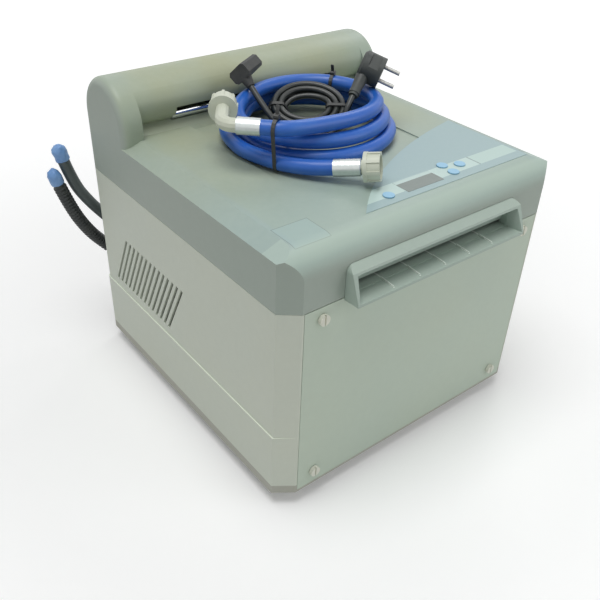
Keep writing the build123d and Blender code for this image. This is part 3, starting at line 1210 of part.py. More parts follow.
# ---------------------------------------------------------------- drain hoses
DRAIN_SMOOTH_RADIUS = 7.5
DRAIN_RIB_RADIUS = 8.5
DRAIN_VALLEY_RADIUS = 7.2
DRAIN_BORE_RADIUS = 5.5
DRAIN_SIDES = 8
RIB_STEP = 5.0


def drain_path(points):
    places = [Vector(*p) for p in points]
    radii = corner_radii(places)
    print("drain hose radii", [round(r, 1) for r in radii])
    return FilletPolyline(*places, radius=radii)


def ring(path, at, radius):
    """Many-sided ring square to the path, its first corner always turned to the same side."""
    origin = path.position_at(at)
    way = path.tangent_at(at)
    plane = Plane(origin=origin, x_dir=Vector(0, 0, 1).cross(way), z_dir=way)
    return (plane * RegularPolygon(radius, DRAIN_SIDES)).wire()


def drain_hose_upper():
    path = drain_path(DRAIN_UPPER)
    outer = tube(path.edges(), DRAIN_SMOOTH_RADIUS, DRAIN_SIDES)
    return outer - tube(path.edges(), DRAIN_BORE_RADIUS, DRAIN_SIDES)


def drain_hose_lower():
    """Ribbed hose: each rib is a crest and a valley joined by short cones."""
    path = drain_path(DRAIN_LOWER)
    length = path.length
    plain = 2 * DRAIN_RIB_RADIUS
    count = int((length - 2 * plain) / RIB_STEP)
    step = (length - 2 * plain) / count
    rings = [ring(path, 0, DRAIN_VALLEY_RADIUS)]
    for i in range(count):
        for share, radius in ((0.0, DRAIN_VALLEY_RADIUS), (0.25, DRAIN_RIB_RADIUS),
                              (0.5, DRAIN_RIB_RADIUS), (0.75, DRAIN_VALLEY_RADIUS)):
            rings.append(ring(path, (plain + (i + share) * step) / length, radius))
    rings.append(ring(path, 1, DRAIN_VALLEY_RADIUS))
    hose = Solid.make_loft(rings, True)
    print("drain hose ribs", count, "length", round(length))
    return hose - tube(path.edges(), DRAIN_BORE_RADIUS, DRAIN_SIDES)


def drain_hose_caps():
    """Soft covers over the open ends of the drain hoses."""
    caps = []
    for points, radius in ((DRAIN_UPPER, DRAIN_SMOOTH_RADIUS), (DRAIN_LOWER, DRAIN_VALLEY_RADIUS)):
        tip, before = Vector(*points[-1]), Vector(*points[-2])
        way = (tip - before).normalized()
        cap = Pos(0, 0, -3) * Cylinder(radius + 1.6, 18) - Pos(0, 0, -6) * Cylinder(radius + 0.2, 12.4)
        caps.append(on_axis(tip, way, cap))
    return Compound(children=caps)


def build_cords():
    save(inlet_hose(), "inlet_hose")
    save(hose_ferrules(), "hose_ferrules")
    save(hose_fittings(), "hose_fittings")
    save(cable_ties(), "cable_ties")
    save(lead_hank(), "lead_hank")
    save(free_tube(plug_tail_points(), LEAD_RADIUS, LEAD_SIDES, "lead at the plug"), "lead_tail_plug")
    save(free_tube(connector_tail_points(), LEAD_RADIUS, LEAD_SIDES, "lead at the connector"), "lead_tail_connector")
    save(mains_plug(), "mains_plug")
    save(mains_connector(), "mains_connector")
    save(drain_hose_upper(), "drain_hose_upper")
    save(drain_hose_lower(), "drain_hose_lower")
    save(drain_hose_caps(), "drain_hose_caps")


def build_machine():
    save(top_cover(), "top_cover")
    save(control_foil(), "control_foil")
    save(display_window(), "display_window")
    for node, place in KEYS.items():
        save(key_button(*place), node)
    save(control_board(), "control_board")
    save(exit_roller(), "exit_roller")
    save(rubber_feet(), "rubber_feet")
    save(base_tray(), "base_tray")
    save(side_panel(-1), "left_side_panel")
    save(side_panel(1), "right_side_panel")
    save(front_panel(), "front_panel")
    for side, x in (("left", -FASTENER_X), ("right", FASTENER_X)):
        for level, z in (("low", FASTENER_LOW_Z), ("high", FASTENER_HIGH_Z)):
            save(panel_fastener(x, z), "fastener_" + level + "_" + side)
    save(rear_panel(), "rear_panel")
    save(hinge_pins(), "hinge_pins")
    save(feed_tray(), "feed_tray")
    save(tank_block(), "tank_block")
    for bath, y in zip(BATHS, TANK_YS):
        save(roller_rack(y), bath + "_rack")
        save(rack_drive_roller(y), bath + "_drive_roller")
        save(rack_nip_roller(y - NIP_DISTANCE, 180 / NIP_GEAR_TEETH), bath + "_entry_roller")
        save(rack_nip_roller(y + NIP_DISTANCE, 0), bath + "_exit_roller")
    for i, y in enumerate(IDLER_YS):
        save(idler_gear(y), "idler_gear_%d" % (i + 1))
    save(drive_plate(), "drive_plate")
    save(drive_motor(), "drive_motor")
    save(motor_pinion(), "motor_pinion")
    save(dryer_frame(), "dryer_frame")
    save(dryer_roller(), "dryer_roller")
    save(dryer_heater(), "dryer_heater")
    save(blower_housing(), "blower_housing")
    save(blower_impeller(), "blower_impeller")
    save(water_valve(), "water_valve")
    save(circulation_pump(), "circulation_pump")
    save(mains_inlet(), "mains_inlet")


build_machine()
build_cords()
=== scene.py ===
import math
import bpy
from mathutils import Matrix, Vector, noise


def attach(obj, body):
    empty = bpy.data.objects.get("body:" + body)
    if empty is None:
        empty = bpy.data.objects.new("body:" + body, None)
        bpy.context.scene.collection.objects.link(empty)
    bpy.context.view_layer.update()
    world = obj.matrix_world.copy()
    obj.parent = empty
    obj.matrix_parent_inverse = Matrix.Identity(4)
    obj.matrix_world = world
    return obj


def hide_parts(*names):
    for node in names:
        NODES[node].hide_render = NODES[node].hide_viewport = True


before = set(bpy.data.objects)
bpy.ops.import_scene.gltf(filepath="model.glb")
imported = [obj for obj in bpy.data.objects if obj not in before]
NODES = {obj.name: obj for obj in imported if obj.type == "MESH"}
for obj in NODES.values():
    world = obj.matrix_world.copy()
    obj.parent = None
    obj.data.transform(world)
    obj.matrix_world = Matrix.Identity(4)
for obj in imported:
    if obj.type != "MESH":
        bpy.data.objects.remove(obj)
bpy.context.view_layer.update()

MM = 0.001


def metres(point):
    """A point written in millimetres, as the drawing has it, in metres."""
    return Vector(point) * MM


# ---------------------------------------------------------------- camera
CAMERA_PLACE = (-513.4, -611.5, 658.3)
CAMERA_RIGHT = (0.788, -0.615, 0.033)
CAMERA_AWAY = (0.517, 0.632, -0.578)
FOCAL_PIXELS = 738.4
FRAME_PIXELS = 600
SENSOR = 36.0


def photographic_camera():
    """Camera at the place and with the tilt that the photograph was taken from."""
    data = bpy.data.cameras.new("camera")
    data.sensor_width = SENSOR
    data.lens = FOCAL_PIXELS / FRAME_PIXELS * SENSOR
    data.clip_start, data.clip_end = 0.01, 50
    away = Vector(CAMERA_AWAY).normalized()
    right = Vector(CAMERA_RIGHT)
    right = (right - away * right.dot(away)).normalized()
    up = right.cross(away)
    turn = Matrix((right, up, -away)).transposed().to_4x4()
    camera = bpy.data.objects.new("camera", data)
    camera.matrix_world = Matrix.Translation(metres(CAMERA_PLACE)) @ turn
    bpy.context.scene.collection.objects.link(camera)
    bpy.context.scene.camera = camera


photographic_camera()


# ---------------------------------------------------------------- hoses and the mains lead
def shown(obj):
    """The object, now in the scene."""
    bpy.context.scene.collection.objects.link(obj)
    return obj


def soft_line(name, points, radius=0.0, steps=10, ring=5):
    """A curve that flexes smoothly past its points, given in millimetres."""
    data = bpy.data.curves.new(name, "CURVE")
    data.dimensions = "3D"
    data.resolution_u = steps
    run = data.splines.new("NURBS")
    run.points.add(len(points) - 1)
    for knot, place in zip(run.points, points):
        knot.co = (*metres(place), 1)
    run.order_u = 3
    run.use_endpoint_u = True
    data.bevel_depth = radius * MM
    data.bevel_resolution = ring
    data.use_fill_caps = True
    return shown(bpy.data.objects.new(name, data))


def line_points(name, points, steps=10):
    """The places that a soft line runs through, in metres."""
    guide = soft_line(name, points, steps=steps)
    mesh = bpy.data.meshes.new_from_object(guide.evaluated_get(bpy.context.evaluated_depsgraph_get()))
    places = [v.co.copy() for v in mesh.vertices]
    bpy.data.meshes.remove(mesh)
    bpy.data.objects.remove(guide)
    return places


HOSE_RADIUS = 8.25
COIL_CENTRE = (0.0, 10.0)
COIL_LOW_Z = 330.6
COIL_LAYER = 14.7
# a soft line rounds off inside its points, so those of the coil and the hank are spread by these factors
COIL_SWELL = 1.035
HANK_SWELL = 1.03
# front, right, rear and left of each turn, from the top turn down: distance from the centre, and layer
COIL_KNOTS = [(65.5, 2.2), (78.5, 2), (70, 2), (88, 1.4), (74.1, 1.04), (87.1, 1), (78.6, 1), (79.4, 0),
              (82.7, 0), (95.7, 0), (94.5, 0), (96.6, 0)]
HOSE_START = [(-120.4, -19.6, 370.0), (-103.2, -37.1, 370.0), (-86.0, -53.0, 369.6), (-58.0, -57.0, 367.0),
              (-28.0, -56.5, 364.3)]
HOSE_END = [(-95.3, -20.0, 330.7), (-86.8, -49.0, 331.2), (-73.0, -75.0, 333.0), (-55.0, -96.6, 336.3),
            (-36.9, -117.7, 340.5)]


def eased(a, b, share):
    """From a to b, starting and ending gently."""
    return a + (b - a) * share * share * (3 - 2 * share)


def hose_route():
    """Three turns round the top of the cover, a dozen points to a turn, and the two ends."""
    turns = []
    for step in range(3 * (len(COIL_KNOTS) - 1) + 1):
        quarter, third = divmod(step, 3)
        if quarter == len(COIL_KNOTS) - 1:
            quarter, third = quarter - 1, 3
        (r0, z0), (r1, z1) = COIL_KNOTS[quarter], COIL_KNOTS[quarter + 1]
        reach = eased(r0, r1, third / 3) * COIL_SWELL
        angle = math.radians(270 + 30 * step)
        turns.append((COIL_CENTRE[0] + reach * math.cos(angle), COIL_CENTRE[1] + reach * math.sin(angle),
                      COIL_LOW_Z + COIL_LAYER * eased(z0, z1, third / 3)))
    return HOSE_START + turns + HOSE_END


LEAD_RADIUS = 3.5
HANK_CENTRE = Vector((10.0, 30.0, 345.8))
HANK_ALONG = Vector((0.8, -0.6, 0.0))
HANK_ACROSS = Vector((0.54378, 0.72505, 0.42262))
HANK_UP = HANK_ALONG.cross(HANK_ACROSS)
HANK_HALF_LENGTH = 46.0
HANK_HALF_WIDTH = 40.0
HANK_PITCH = 7.8
HANK_LAYER = 7.7
HANK_LOOPS = (0.25, 5.25)
HANK_MIDDLE = 2.75
HANK_MIDDLE_TUCK = 1.5
LEAD_TO_PLUG = Vector((0.754, 0.337, 0.564)).normalized()
LEAD_AT_PLUG = Vector((42.5, -11.6, 366.0))
LEAD_DROP = Vector((22.3, -19.2, 337.7))
LEAD_AT_CONNECTOR = Vector((-44.0, 65.0, 370.5))
LEAD_TO_CONNECTOR = Vector((-0.05, 0.78, 0.62)).normalized()
# how far the lead runs on straight at the plug, into and out of the hank, and at the connector
RUN_AT_PLUG = 14.7
RUN_INTO_HANK = 24.7
RUN_BESIDE_HANK = 7.0
RUN_OUT_OF_HANK = 28.8
RUN_AT_CONNECTOR = 27.0


def hank_quarter(quarter):
    """How far a strand lies inwards, and how high between the two layers, at a quarter of a loop."""
    loop = quarter / 4
    inward = (HANK_MIDDLE - max(abs(loop - HANK_MIDDLE), 0.25)) * HANK_PITCH
    if loop == HANK_MIDDLE:
        inward += HANK_MIDDLE_TUCK
    return inward, min(max((loop - HANK_MIDDLE) * 2 + 0.5, 0), 1) - 0.5


def hank_way(angle):
    """The way that a strand runs at an angle round the hank."""
    return HANK_ALONG * math.sin(angle) - HANK_ACROSS * math.cos(angle)


def lead_route():
    """From the plug down into the hank, round its loops and out to the connector."""
    strands = []
    first, last = (round(12 * loop) for loop in HANK_LOOPS)
    for step in range(first, last + 1):
        quarter, third = divmod(step, 3)
        if step == last:
            quarter, third = quarter - 1, 3
        (in0, up0), (in1, up1) = hank_quarter(quarter), hank_quarter(quarter + 1)
        inward, up = eased(in0, in1, third / 3), eased(up0, up1, third / 3)
        angle = -math.pi * step / 6
        strands.append(HANK_CENTRE + HANK_ALONG * ((HANK_HALF_LENGTH - inward) * HANK_SWELL * math.cos(angle))
                       + HANK_ACROSS * ((HANK_HALF_WIDTH - inward) * HANK_SWELL * math.sin(angle))
                       + HANK_UP * (up * HANK_LAYER))
    into, out = (hank_way(-2 * math.pi * loop) for loop in HANK_LOOPS)
    return ([LEAD_AT_PLUG, LEAD_AT_PLUG - LEAD_TO_PLUG * RUN_AT_PLUG, LEAD_DROP,
             strands[0] - into * RUN_INTO_HANK, strands[0] - into * RUN_BESIDE_HANK]
            + strands
            + [strands[-1] + out * RUN_BESIDE_HANK, strands[-1] + out * RUN_OUT_OF_HANK,
               LEAD_AT_CONNECTOR - LEAD_TO_CONNECTOR * RUN_AT_CONNECTOR, LEAD_AT_CONNECTOR])


DRAIN_STEPS = 14
SMOOTH_DRAIN_RADIUS = 7.5
RIBBED_DRAIN_CREST = 8.5
RIBBED_DRAIN_VALLEY = 7.2
RIBBED_DRAIN_PITCH = 5.0
RIBBED_DRAIN_PLAIN_END = 16.0
DRAIN_UPPER = [(-152, 209, 148), (-152, 227, 148), (-164, 241, 163), (-185, 240, 192), (-205, 233, 228),
               (-217, 229, 274)]
DRAIN_LOWER = [(-152, 209, 102), (-152, 230, 102), (-167, 244, 117), (-192, 240, 150), (-214, 233, 196),
               (-228, 230, 244)]

hose = soft_line("blue_inlet_hose", hose_route(), HOSE_RADIUS)
lead = soft_line("mains_lead", lead_route(), LEAD_RADIUS, steps=8, ring=4)
smooth_drain = soft_line("smooth_drain_hose", DRAIN_UPPER, SMOOTH_DRAIN_RADIUS, steps=DRAIN_STEPS)


# ---------------------------------------------------------------- geometry recipes
def new_tree(name, kind, inputs, outputs):
    """A node group with named sockets: (name, socket type, default value or None)."""
    tree = bpy.data.node_groups.new(name, kind)
    for direction, sockets in (("INPUT", inputs), ("OUTPUT", outputs)):
        for label, socket_type, value in sockets:
            socket = tree.interface.new_socket(name=label, in_out=direction, socket_type=socket_type)
            if value is not None:
                socket.default_value = value
    return tree, tree.nodes.new("NodeGroupInput"), tree.nodes.new("NodeGroupOutput")


def put(tree, kind, inputs=None, **settings):
    """A node with its settings, its inputs either values or the sockets that feed them."""
    made = tree.nodes.new(kind)
    for key, value in settings.items():
        setattr(made, key, value)
    for key, value in (inputs or {}).items():
        if isinstance(value, bpy.types.NodeSocket):
            tree.links.new(value, made.inputs[key])
        else:
            made.inputs[key].default_value = value
    return made


def math_node(tree, operation, *values):
    """The output of a Math node with these values or sockets."""
    return put(tree, "ShaderNodeMath", dict(enumerate(values)), operation=operation).outputs[0]


def ringed_tube_tree():
    """Tube along a curve, its radius waving between crest and valley to make ribs or crimps."""
    tree, given, out = new_tree("ringed tube", "GeometryNodeTree", [
        ("Line", "NodeSocketGeometry", None), ("Pitch", "NodeSocketFloat", 0.005),
        ("Crest Radius", "NodeSocketFloat", 0.0085), ("Valley Radius", "NodeSocketFloat", 0.0072),
        ("Plain End", "NodeSocketFloat", 0.01), ("Steps per Ring", "NodeSocketFloat", 8.0),
        ("Sides", "NodeSocketInt", 24), ("Finish", "NodeSocketMaterial", None)],
        [("Geometry", "NodeSocketGeometry", None)])
    length = put(tree, "GeometryNodeCurveLength", {0: given.outputs["Line"]}).outputs[0]
    step = math_node(tree, "DIVIDE", given.outputs["Pitch"], given.outputs["Steps per Ring"])
    line = put(tree, "GeometryNodeResampleCurve", {"Curve": given.outputs["Line"], "Length": step},
               mode="LENGTH").outputs[0]
    at = put(tree, "GeometryNodeSplineParameter").outputs["Length"]
    left = math_node(tree, "SUBTRACT", length, at)
    inside = math_node(tree, "MINIMUM", at, left)
    ribbed = math_node(tree, "GREATER_THAN", inside, given.outputs["Plain End"])
    phase = math_node(tree, "MULTIPLY", math_node(tree, "DIVIDE", at, given.outputs["Pitch"]), 2 * math.pi)
    wave = math_node(tree, "MULTIPLY_ADD", math_node(tree, "SINE", phase), 0.9, 0.5)
    wave = put(tree, "ShaderNodeClamp", {"Value": wave}).outputs[0]
    rise = math_node(tree, "SUBTRACT", given.outputs["Crest Radius"], given.outputs["Valley Radius"])
    height = math_node(tree, "MULTIPLY", math_node(tree, "MULTIPLY", wave, rise), ribbed)
    radius = math_node(tree, "ADD", height, given.outputs["Valley Radius"])
    circle = put(tree, "GeometryNodeCurvePrimitiveCircle",
                 {"Resolution": given.outputs["Sides"], "Radius": 1.0}).outputs[0]
    mesh = put(tree, "GeometryNodeCurveToMesh",
               {"Curve": line, "Profile Curve": circle, "Scale": radius, "Fill Caps": True}).outputs[0]
    mesh = put(tree, "GeometryNodeSetShadeSmooth", {"Geometry": mesh}).outputs[0]
    mesh = put(tree, "GeometryNodeRealizeInstances", {"Geometry": mesh}).outputs[0]
    mesh = put(tree, "GeometryNodeSetMaterial",
               {"Geometry": mesh, "Material": given.outputs["Finish"]}).outputs[0]
    tree.links.new(mesh, out.inputs["Geometry"])
    return tree


RINGED_TUBE = ringed_tube_tree()


def ringed_tube(name, points, finish, **sizes):
    """Plain mesh of a ringed tube along points given in millimetres."""
    guide = soft_line(name + "_guide", points, steps=DRAIN_STEPS)
    maker = guide.modifiers.new("rings", "NODES")
    maker.node_group = RINGED_TUBE
    sizes = {label.replace("_", " "): value for label, value in sizes.items()}
    sizes["Finish"] = finish
    for item in RINGED_TUBE.interface.items_tree:
        if item.item_type == "SOCKET" and item.in_out == "INPUT" and item.name in sizes:
            maker[item.identifier] = sizes[item.name]
    guide.update_tag()
    bpy.context.view_layer.update()
    mesh = bpy.data.meshes.new_from_object(guide.evaluated_get(bpy.context.evaluated_depsgraph_get()))
    bpy.data.objects.remove(guide)
    mesh.name = name
    return shown(bpy.data.objects.new(name, mesh))


# ---------------------------------------------------------------- surface recipes
def object_place(tree):
    """Where each point lies in its object's own frame."""
    return put(tree, "ShaderNodeTexCoord").outputs["Object"]


def parts_of(tree, vector):
    """The numbers of a vector, by X, Y and Z."""
    return put(tree, "ShaderNodeSeparateXYZ", {0: vector}).outputs


def product(tree, first, *others):
    """Values or sockets multiplied, from the first to the last."""
    for other in others:
        first = math_node(tree, "MULTIPLY", first, other)
    return first


def ranged(tree, value, low, high, to_low=0.0, to_high=1.0, kind="LINEAR"):
    """A value led from one range to another and held inside it."""
    return put(tree, "ShaderNodeMapRange", {"Value": value, "From Min": low, "From Max": high, "To Min": to_low,
                                            "To Max": to_high}, interpolation_type=kind).outputs[0]


def mixed(tree, share, first, second):
    """One colour turned into another by a share from 0 to 1."""
    return put(tree, "ShaderNodeMixRGB", {"Fac": share, "Color1": first, "Color2": second}).outputs[0]


def shaded(tree, colour, shade):
    """A colour made lighter or darker."""
    return put(tree, "ShaderNodeVectorMath", {0: colour, "Scale": shade}, operation="SCALE").outputs[0]


def speckle(tree, where, scale, detail):
    """Soft noise from 0 to 1."""
    return put(tree, "ShaderNodeTexNoise", {"Vector": where, "Scale": scale, "Detail": detail}).outputs["Fac"]


def streaks(tree, where, stretch, detail):
    """Noise drawn out into lines."""
    drawn = put(tree, "ShaderNodeVectorMath", {0: where, 1: stretch}, operation="MULTIPLY").outputs[0]
    return speckle(tree, drawn, 1.0, detail)


RECIPE_GIVES = [("Colour", "NodeSocketColor", None), ("Roughness", "NodeSocketFloat", None),
                ("Height", "NodeSocketFloat", None)]


def finished(tree, out, *results):
    """A recipe whose colour, roughness and height are led to its outputs."""
    for (label, *_), result in zip(RECIPE_GIVES, results):
        tree.links.new(result, out.inputs[label])
    return tree


def moulded_tree():
    """Moulded plastic: fine grain, soft patches of age, dust where it lies level."""
    tree, given, out = new_tree("moulded surface", "ShaderNodeTree", [
        ("Colour", "NodeSocketColor", (0.5, 0.5, 0.5, 1)), ("Aged Colour", "NodeSocketColor", (0.5, 0.5, 0.4, 1)),
        ("Ageing", "NodeSocketFloat", 0.3), ("Mottle", "NodeSocketFloat", 0.05),
        ("Dust", "NodeSocketFloat", 0.1), ("Roughness", "NodeSocketFloat", 0.5),
        ("Grain Scale", "NodeSocketFloat", 1500.0), ("Grain Depth", "NodeSocketFloat", 0.3)], RECIPE_GIVES)
    place = put(tree, "ShaderNodeTexCoord")
    where = place.outputs["Object"]
    patch = speckle(tree, where, 9.0, 4.0)
    fleck = speckle(tree, where, 140.0, 3.0)
    grain = speckle(tree, where, given.outputs["Grain Scale"], 2.0)
    worn = ranged(tree, patch, 0.3, 0.7, 0.45, 1.0)
    aged = mixed(tree, product(tree, worn, given.outputs["Ageing"]), given.outputs["Colour"],
                 given.outputs["Aged Colour"])
    both = math_node(tree, "ADD", product(tree, patch, 0.6), product(tree, fleck, 0.4))
    swing = product(tree, math_node(tree, "SUBTRACT", both, 0.5), given.outputs["Mottle"])
    tone = shaded(tree, aged, math_node(tree, "MULTIPLY_ADD", swing, 4.0, 1.0))
    level = ranged(tree, parts_of(tree, place.outputs["Normal"])["Z"], 0.5, 1.0)
    film = product(tree, level, given.outputs["Dust"], fleck)
    dusty = mixed(tree, film, tone, (0.55, 0.55, 0.5, 1))
    rough = math_node(tree, "ADD", given.outputs["Roughness"],
                      product(tree, math_node(tree, "SUBTRACT", patch, 0.5), 0.25))
    rough = math_node(tree, "ADD", rough, product(tree, film, 0.5))
    return finished(tree, out, dusty, rough, product(tree, grain, given.outputs["Grain Depth"]))


def scuff_tree():
    """Fine scratches that run mostly one way, as a mask."""
    tree, given, out = new_tree("fine scuffs", "ShaderNodeTree", [
        ("Stretch", "NodeSocketVector", (30.0, 900.0, 900.0)), ("Spread", "NodeSocketFloat", 0.62)],
        [("Mask", "NodeSocketFloat", None)])
    where = object_place(tree)
    lines = ranged(tree, streaks(tree, where, given.outputs["Stretch"], 2.0), given.outputs["Spread"], 0.8)
    areas = ranged(tree, speckle(tree, where, 14.0, 3.0), 0.5, 0.7)
    tree.links.new(product(tree, lines, areas), out.inputs["Mask"])
    return tree


def rubber_tree():
    """Dark flexible cover with a faint grey bloom and rub marks."""
    tree, given, out = new_tree("flexible cover", "ShaderNodeTree", [
        ("Colour", "NodeSocketColor", (0.03, 0.03, 0.03, 1)), ("Bloom Colour", "NodeSocketColor", (0.1, 0.1, 0.1, 1)),
        ("Bloom", "NodeSocketFloat", 0.3), ("Roughness", "NodeSocketFloat", 0.5),
        ("Grain Scale", "NodeSocketFloat", 700.0)], RECIPE_GIVES)
    where = object_place(tree)
    cloud = ranged(tree, speckle(tree, where, 45.0, 5.0), 0.45, 0.75)
    grain = speckle(tree, where, given.outputs["Grain Scale"], 3.0)
    film = product(tree, cloud, given.outputs["Bloom"], math_node(tree, "ADD", grain, 0.4))
    tone = mixed(tree, film, given.outputs["Colour"], given.outputs["Bloom Colour"])
    rough = math_node(tree, "MULTIPLY_ADD", film, 0.4, given.outputs["Roughness"])
    return finished(tree, out, tone, rough, product(tree, grain, 0.5))


def metal_tree():
    """Drawn or rolled metal: fine lines one way, slight clouding."""
    tree, given, out = new_tree("worked metal", "ShaderNodeTree", [
        ("Colour", "NodeSocketColor", (0.6, 0.6, 0.6, 1)), ("Stretch", "NodeSocketVector", (40.0, 1500.0, 1500.0)),
        ("Line Contrast", "NodeSocketFloat", 0.15), ("Roughness", "NodeSocketFloat", 0.3)], RECIPE_GIVES)
    where = object_place(tree)
    lines = streaks(tree, where, given.outputs["Stretch"], 3.0)
    cloud = speckle(tree, where, 30.0, 4.0)
    swing = product(tree, math_node(tree, "SUBTRACT", lines, 0.5), given.outputs["Line Contrast"])
    shade = math_node(tree, "ADD", math_node(tree, "MULTIPLY_ADD", swing, 2.0, 1.0),
                      product(tree, math_node(tree, "SUBTRACT", cloud, 0.5), 0.2))
    rough = math_node(tree, "ADD", given.outputs["Roughness"],
                      product(tree, math_node(tree, "SUBTRACT", cloud, 0.4), 0.3))
    return finished(tree, out, shaded(tree, given.outputs["Colour"], shade), rough, product(tree, lines, 0.3))


def field_tree():
    """Mask of a printed field: four sides on X and Y, the left side leaning."""
    tree, given, out = new_tree("printed field", "ShaderNodeTree", [
        (label, "NodeSocketFloat", 0.0) for label in ("Left", "Right", "Front", "Rear", "Lean")],
        [("Mask", "NodeSocketFloat", None)])
    where = parts_of(tree, object_place(tree))
    x, y = where["X"], where["Y"]
    lean = product(tree, given.outputs["Lean"], math_node(tree, "SUBTRACT", y, given.outputs["Front"]))
    mask = product(tree, math_node(tree, "GREATER_THAN", x, math_node(tree, "ADD", given.outputs["Left"], lean)),
                   math_node(tree, "LESS_THAN", x, given.outputs["Right"]),
                   math_node(tree, "GREATER_THAN", y, given.outputs["Front"]),
                   math_node(tree, "LESS_THAN", y, given.outputs["Rear"]))
    tree.links.new(mask, out.inputs["Mask"])
    return tree


MOULDED, SCUFFS, RUBBER, METAL, FIELD = moulded_tree(), scuff_tree(), rubber_tree(), metal_tree(), field_tree()


def placed(tree, group, values):
    """A shared recipe placed in a material with its own values."""
    made = tree.nodes.new("ShaderNodeGroup")
    made.node_tree = group
    for key, value in values.items():
        if isinstance(value, bpy.types.NodeSocket):
            tree.links.new(value, made.inputs[key])
        elif isinstance(value, tuple) and len(value) == 3 and made.inputs[key].type == "RGBA":
            made.inputs[key].default_value = (*value, 1)
        else:
            made.inputs[key].default_value = value
    return made


def blank_finish(name, **constants):
    """A material with its shader; constants are set on the shader's own sockets."""
    finish = bpy.data.materials.new(name)
    finish.use_nodes = True
    shader = finish.node_tree.nodes["Principled BSDF"]
    for key, value in constants.items():
        shader.inputs[key.replace("_", " ")].default_value = value
    return finish, finish.node_tree, shader


def feed_shader(tree, shader, recipe, depth, colour=None):
    """A recipe's colour, roughness and grain led to the shader; the grain is depth metres deep."""
    tree.links.new(colour or recipe.outputs["Colour"], shader.inputs["Base Color"])
    tree.links.new(recipe.outputs["Roughness"], shader.inputs["Roughness"])
    bump = put(tree, "ShaderNodeBump", {"Height": recipe.outputs["Height"], "Strength": 0.5, "Distance": depth})
    tree.links.new(bump.outputs[0], shader.inputs["Normal"])


SCRATCH_COLOUR = (0.75, 0.75, 0.7, 1)
# faces whose normal points up more than this get the painted highlight
LEDGE_HIGHLIGHT_NORMAL = 0.4


def moulded(name, colour, aged, ageing=0.3, roughness=0.5, mottle=0.05, dust=0.1, grain=1500.0, depth=0.0001,
            scuffs=0.0, ledge_highlight=None, **constants):
    """Moulded plastic in one colour, with its age, dust, light scratches and a painted highlight on its upward-facing
    faces.
    """
    finish, tree, shader = blank_finish(name, **constants)
    recipe = placed(tree, MOULDED, {"Colour": colour, "Aged Colour": aged, "Ageing": ageing, "Mottle": mottle,
                                    "Dust": dust, "Roughness": roughness, "Grain Scale": grain})
    tone = recipe.outputs["Colour"]
    if scuffs:
        tone = mixed(tree, product(tree, placed(tree, SCUFFS, {}).outputs[0], scuffs), tone, SCRATCH_COLOUR)
    # painted highlight on the upward-facing faces, where a ledge catches the light
    if ledge_highlight:
        level = parts_of(tree, put(tree, "ShaderNodeTexCoord").outputs["Normal"])["Z"]
        tone = mixed(tree, math_node(tree, "GREATER_THAN", level, LEDGE_HIGHLIGHT_NORMAL), tone, (*ledge_highlight, 1))
    feed_shader(tree, shader, recipe, depth, tone)
    return finish


def flexible(name, colour, bloom_colour, bloom=0.3, roughness=0.5, grain=700.0, depth=0.0001, **constants):
    """Rubber or soft plastic with its bloom."""
    finish, tree, shader = blank_finish(name, **constants)
    recipe = placed(tree, RUBBER, {"Colour": colour, "Bloom Colour": bloom_colour, "Bloom": bloom,
                                   "Roughness": roughness, "Grain Scale": grain})
    feed_shader(tree, shader, recipe, depth)
    return finish


def metal(name, colour, roughness=0.3, stretch=(40.0, 1500.0, 1500.0), contrast=0.15, depth=0.00003, **constants):
    """Bare metal with its working lines."""
    finish, tree, shader = blank_finish(name, Metallic=1.0, **constants)
    recipe = placed(tree, METAL, {"Colour": colour, "Stretch": stretch, "Line Contrast": contrast,
                                  "Roughness": roughness})
    feed_shader(tree, shader, recipe, depth)
    return finish


# ---------------------------------------------------------------- this machine's finishes
# places on the cover, in metres: its rounded front, where it yellows along Y, and its sides and margins along X
COVER_FRONT = -0.16
YELLOWING = (-0.15, 0.06)
LESS_YELLOW = (0.13, 0.185)
MARGIN = (0.160, 0.166)
BLANK_PLATE = {"Left": -0.1675, "Right": -0.1255, "Front": -0.179, "Rear": -0.142}
OUTLINE_WIDTH = 0.0007
# each pair is the colour of level faces and the colour of upright ones
COVER_COLOURS = ((0.325, 0.42, 0.375, 1), (0.34, 0.395, 0.345, 1))
YELLOWED_COLOURS = ((0.355, 0.38, 0.245, 1), (0.35, 0.395, 0.345, 1))
MARGIN_COLOUR = (0.31, 0.41, 0.41, 1)
PLATE_COLOUR = (0.36, 0.5, 0.5, 1)
OUTLINE_COLOUR = (0.12, 0.15, 0.14, 1)
# colour of the painted highlight along the top of the cover's front rounding
EDGE_HIGHLIGHT_COLOUR = (0.5, 0.61, 0.53, 1)


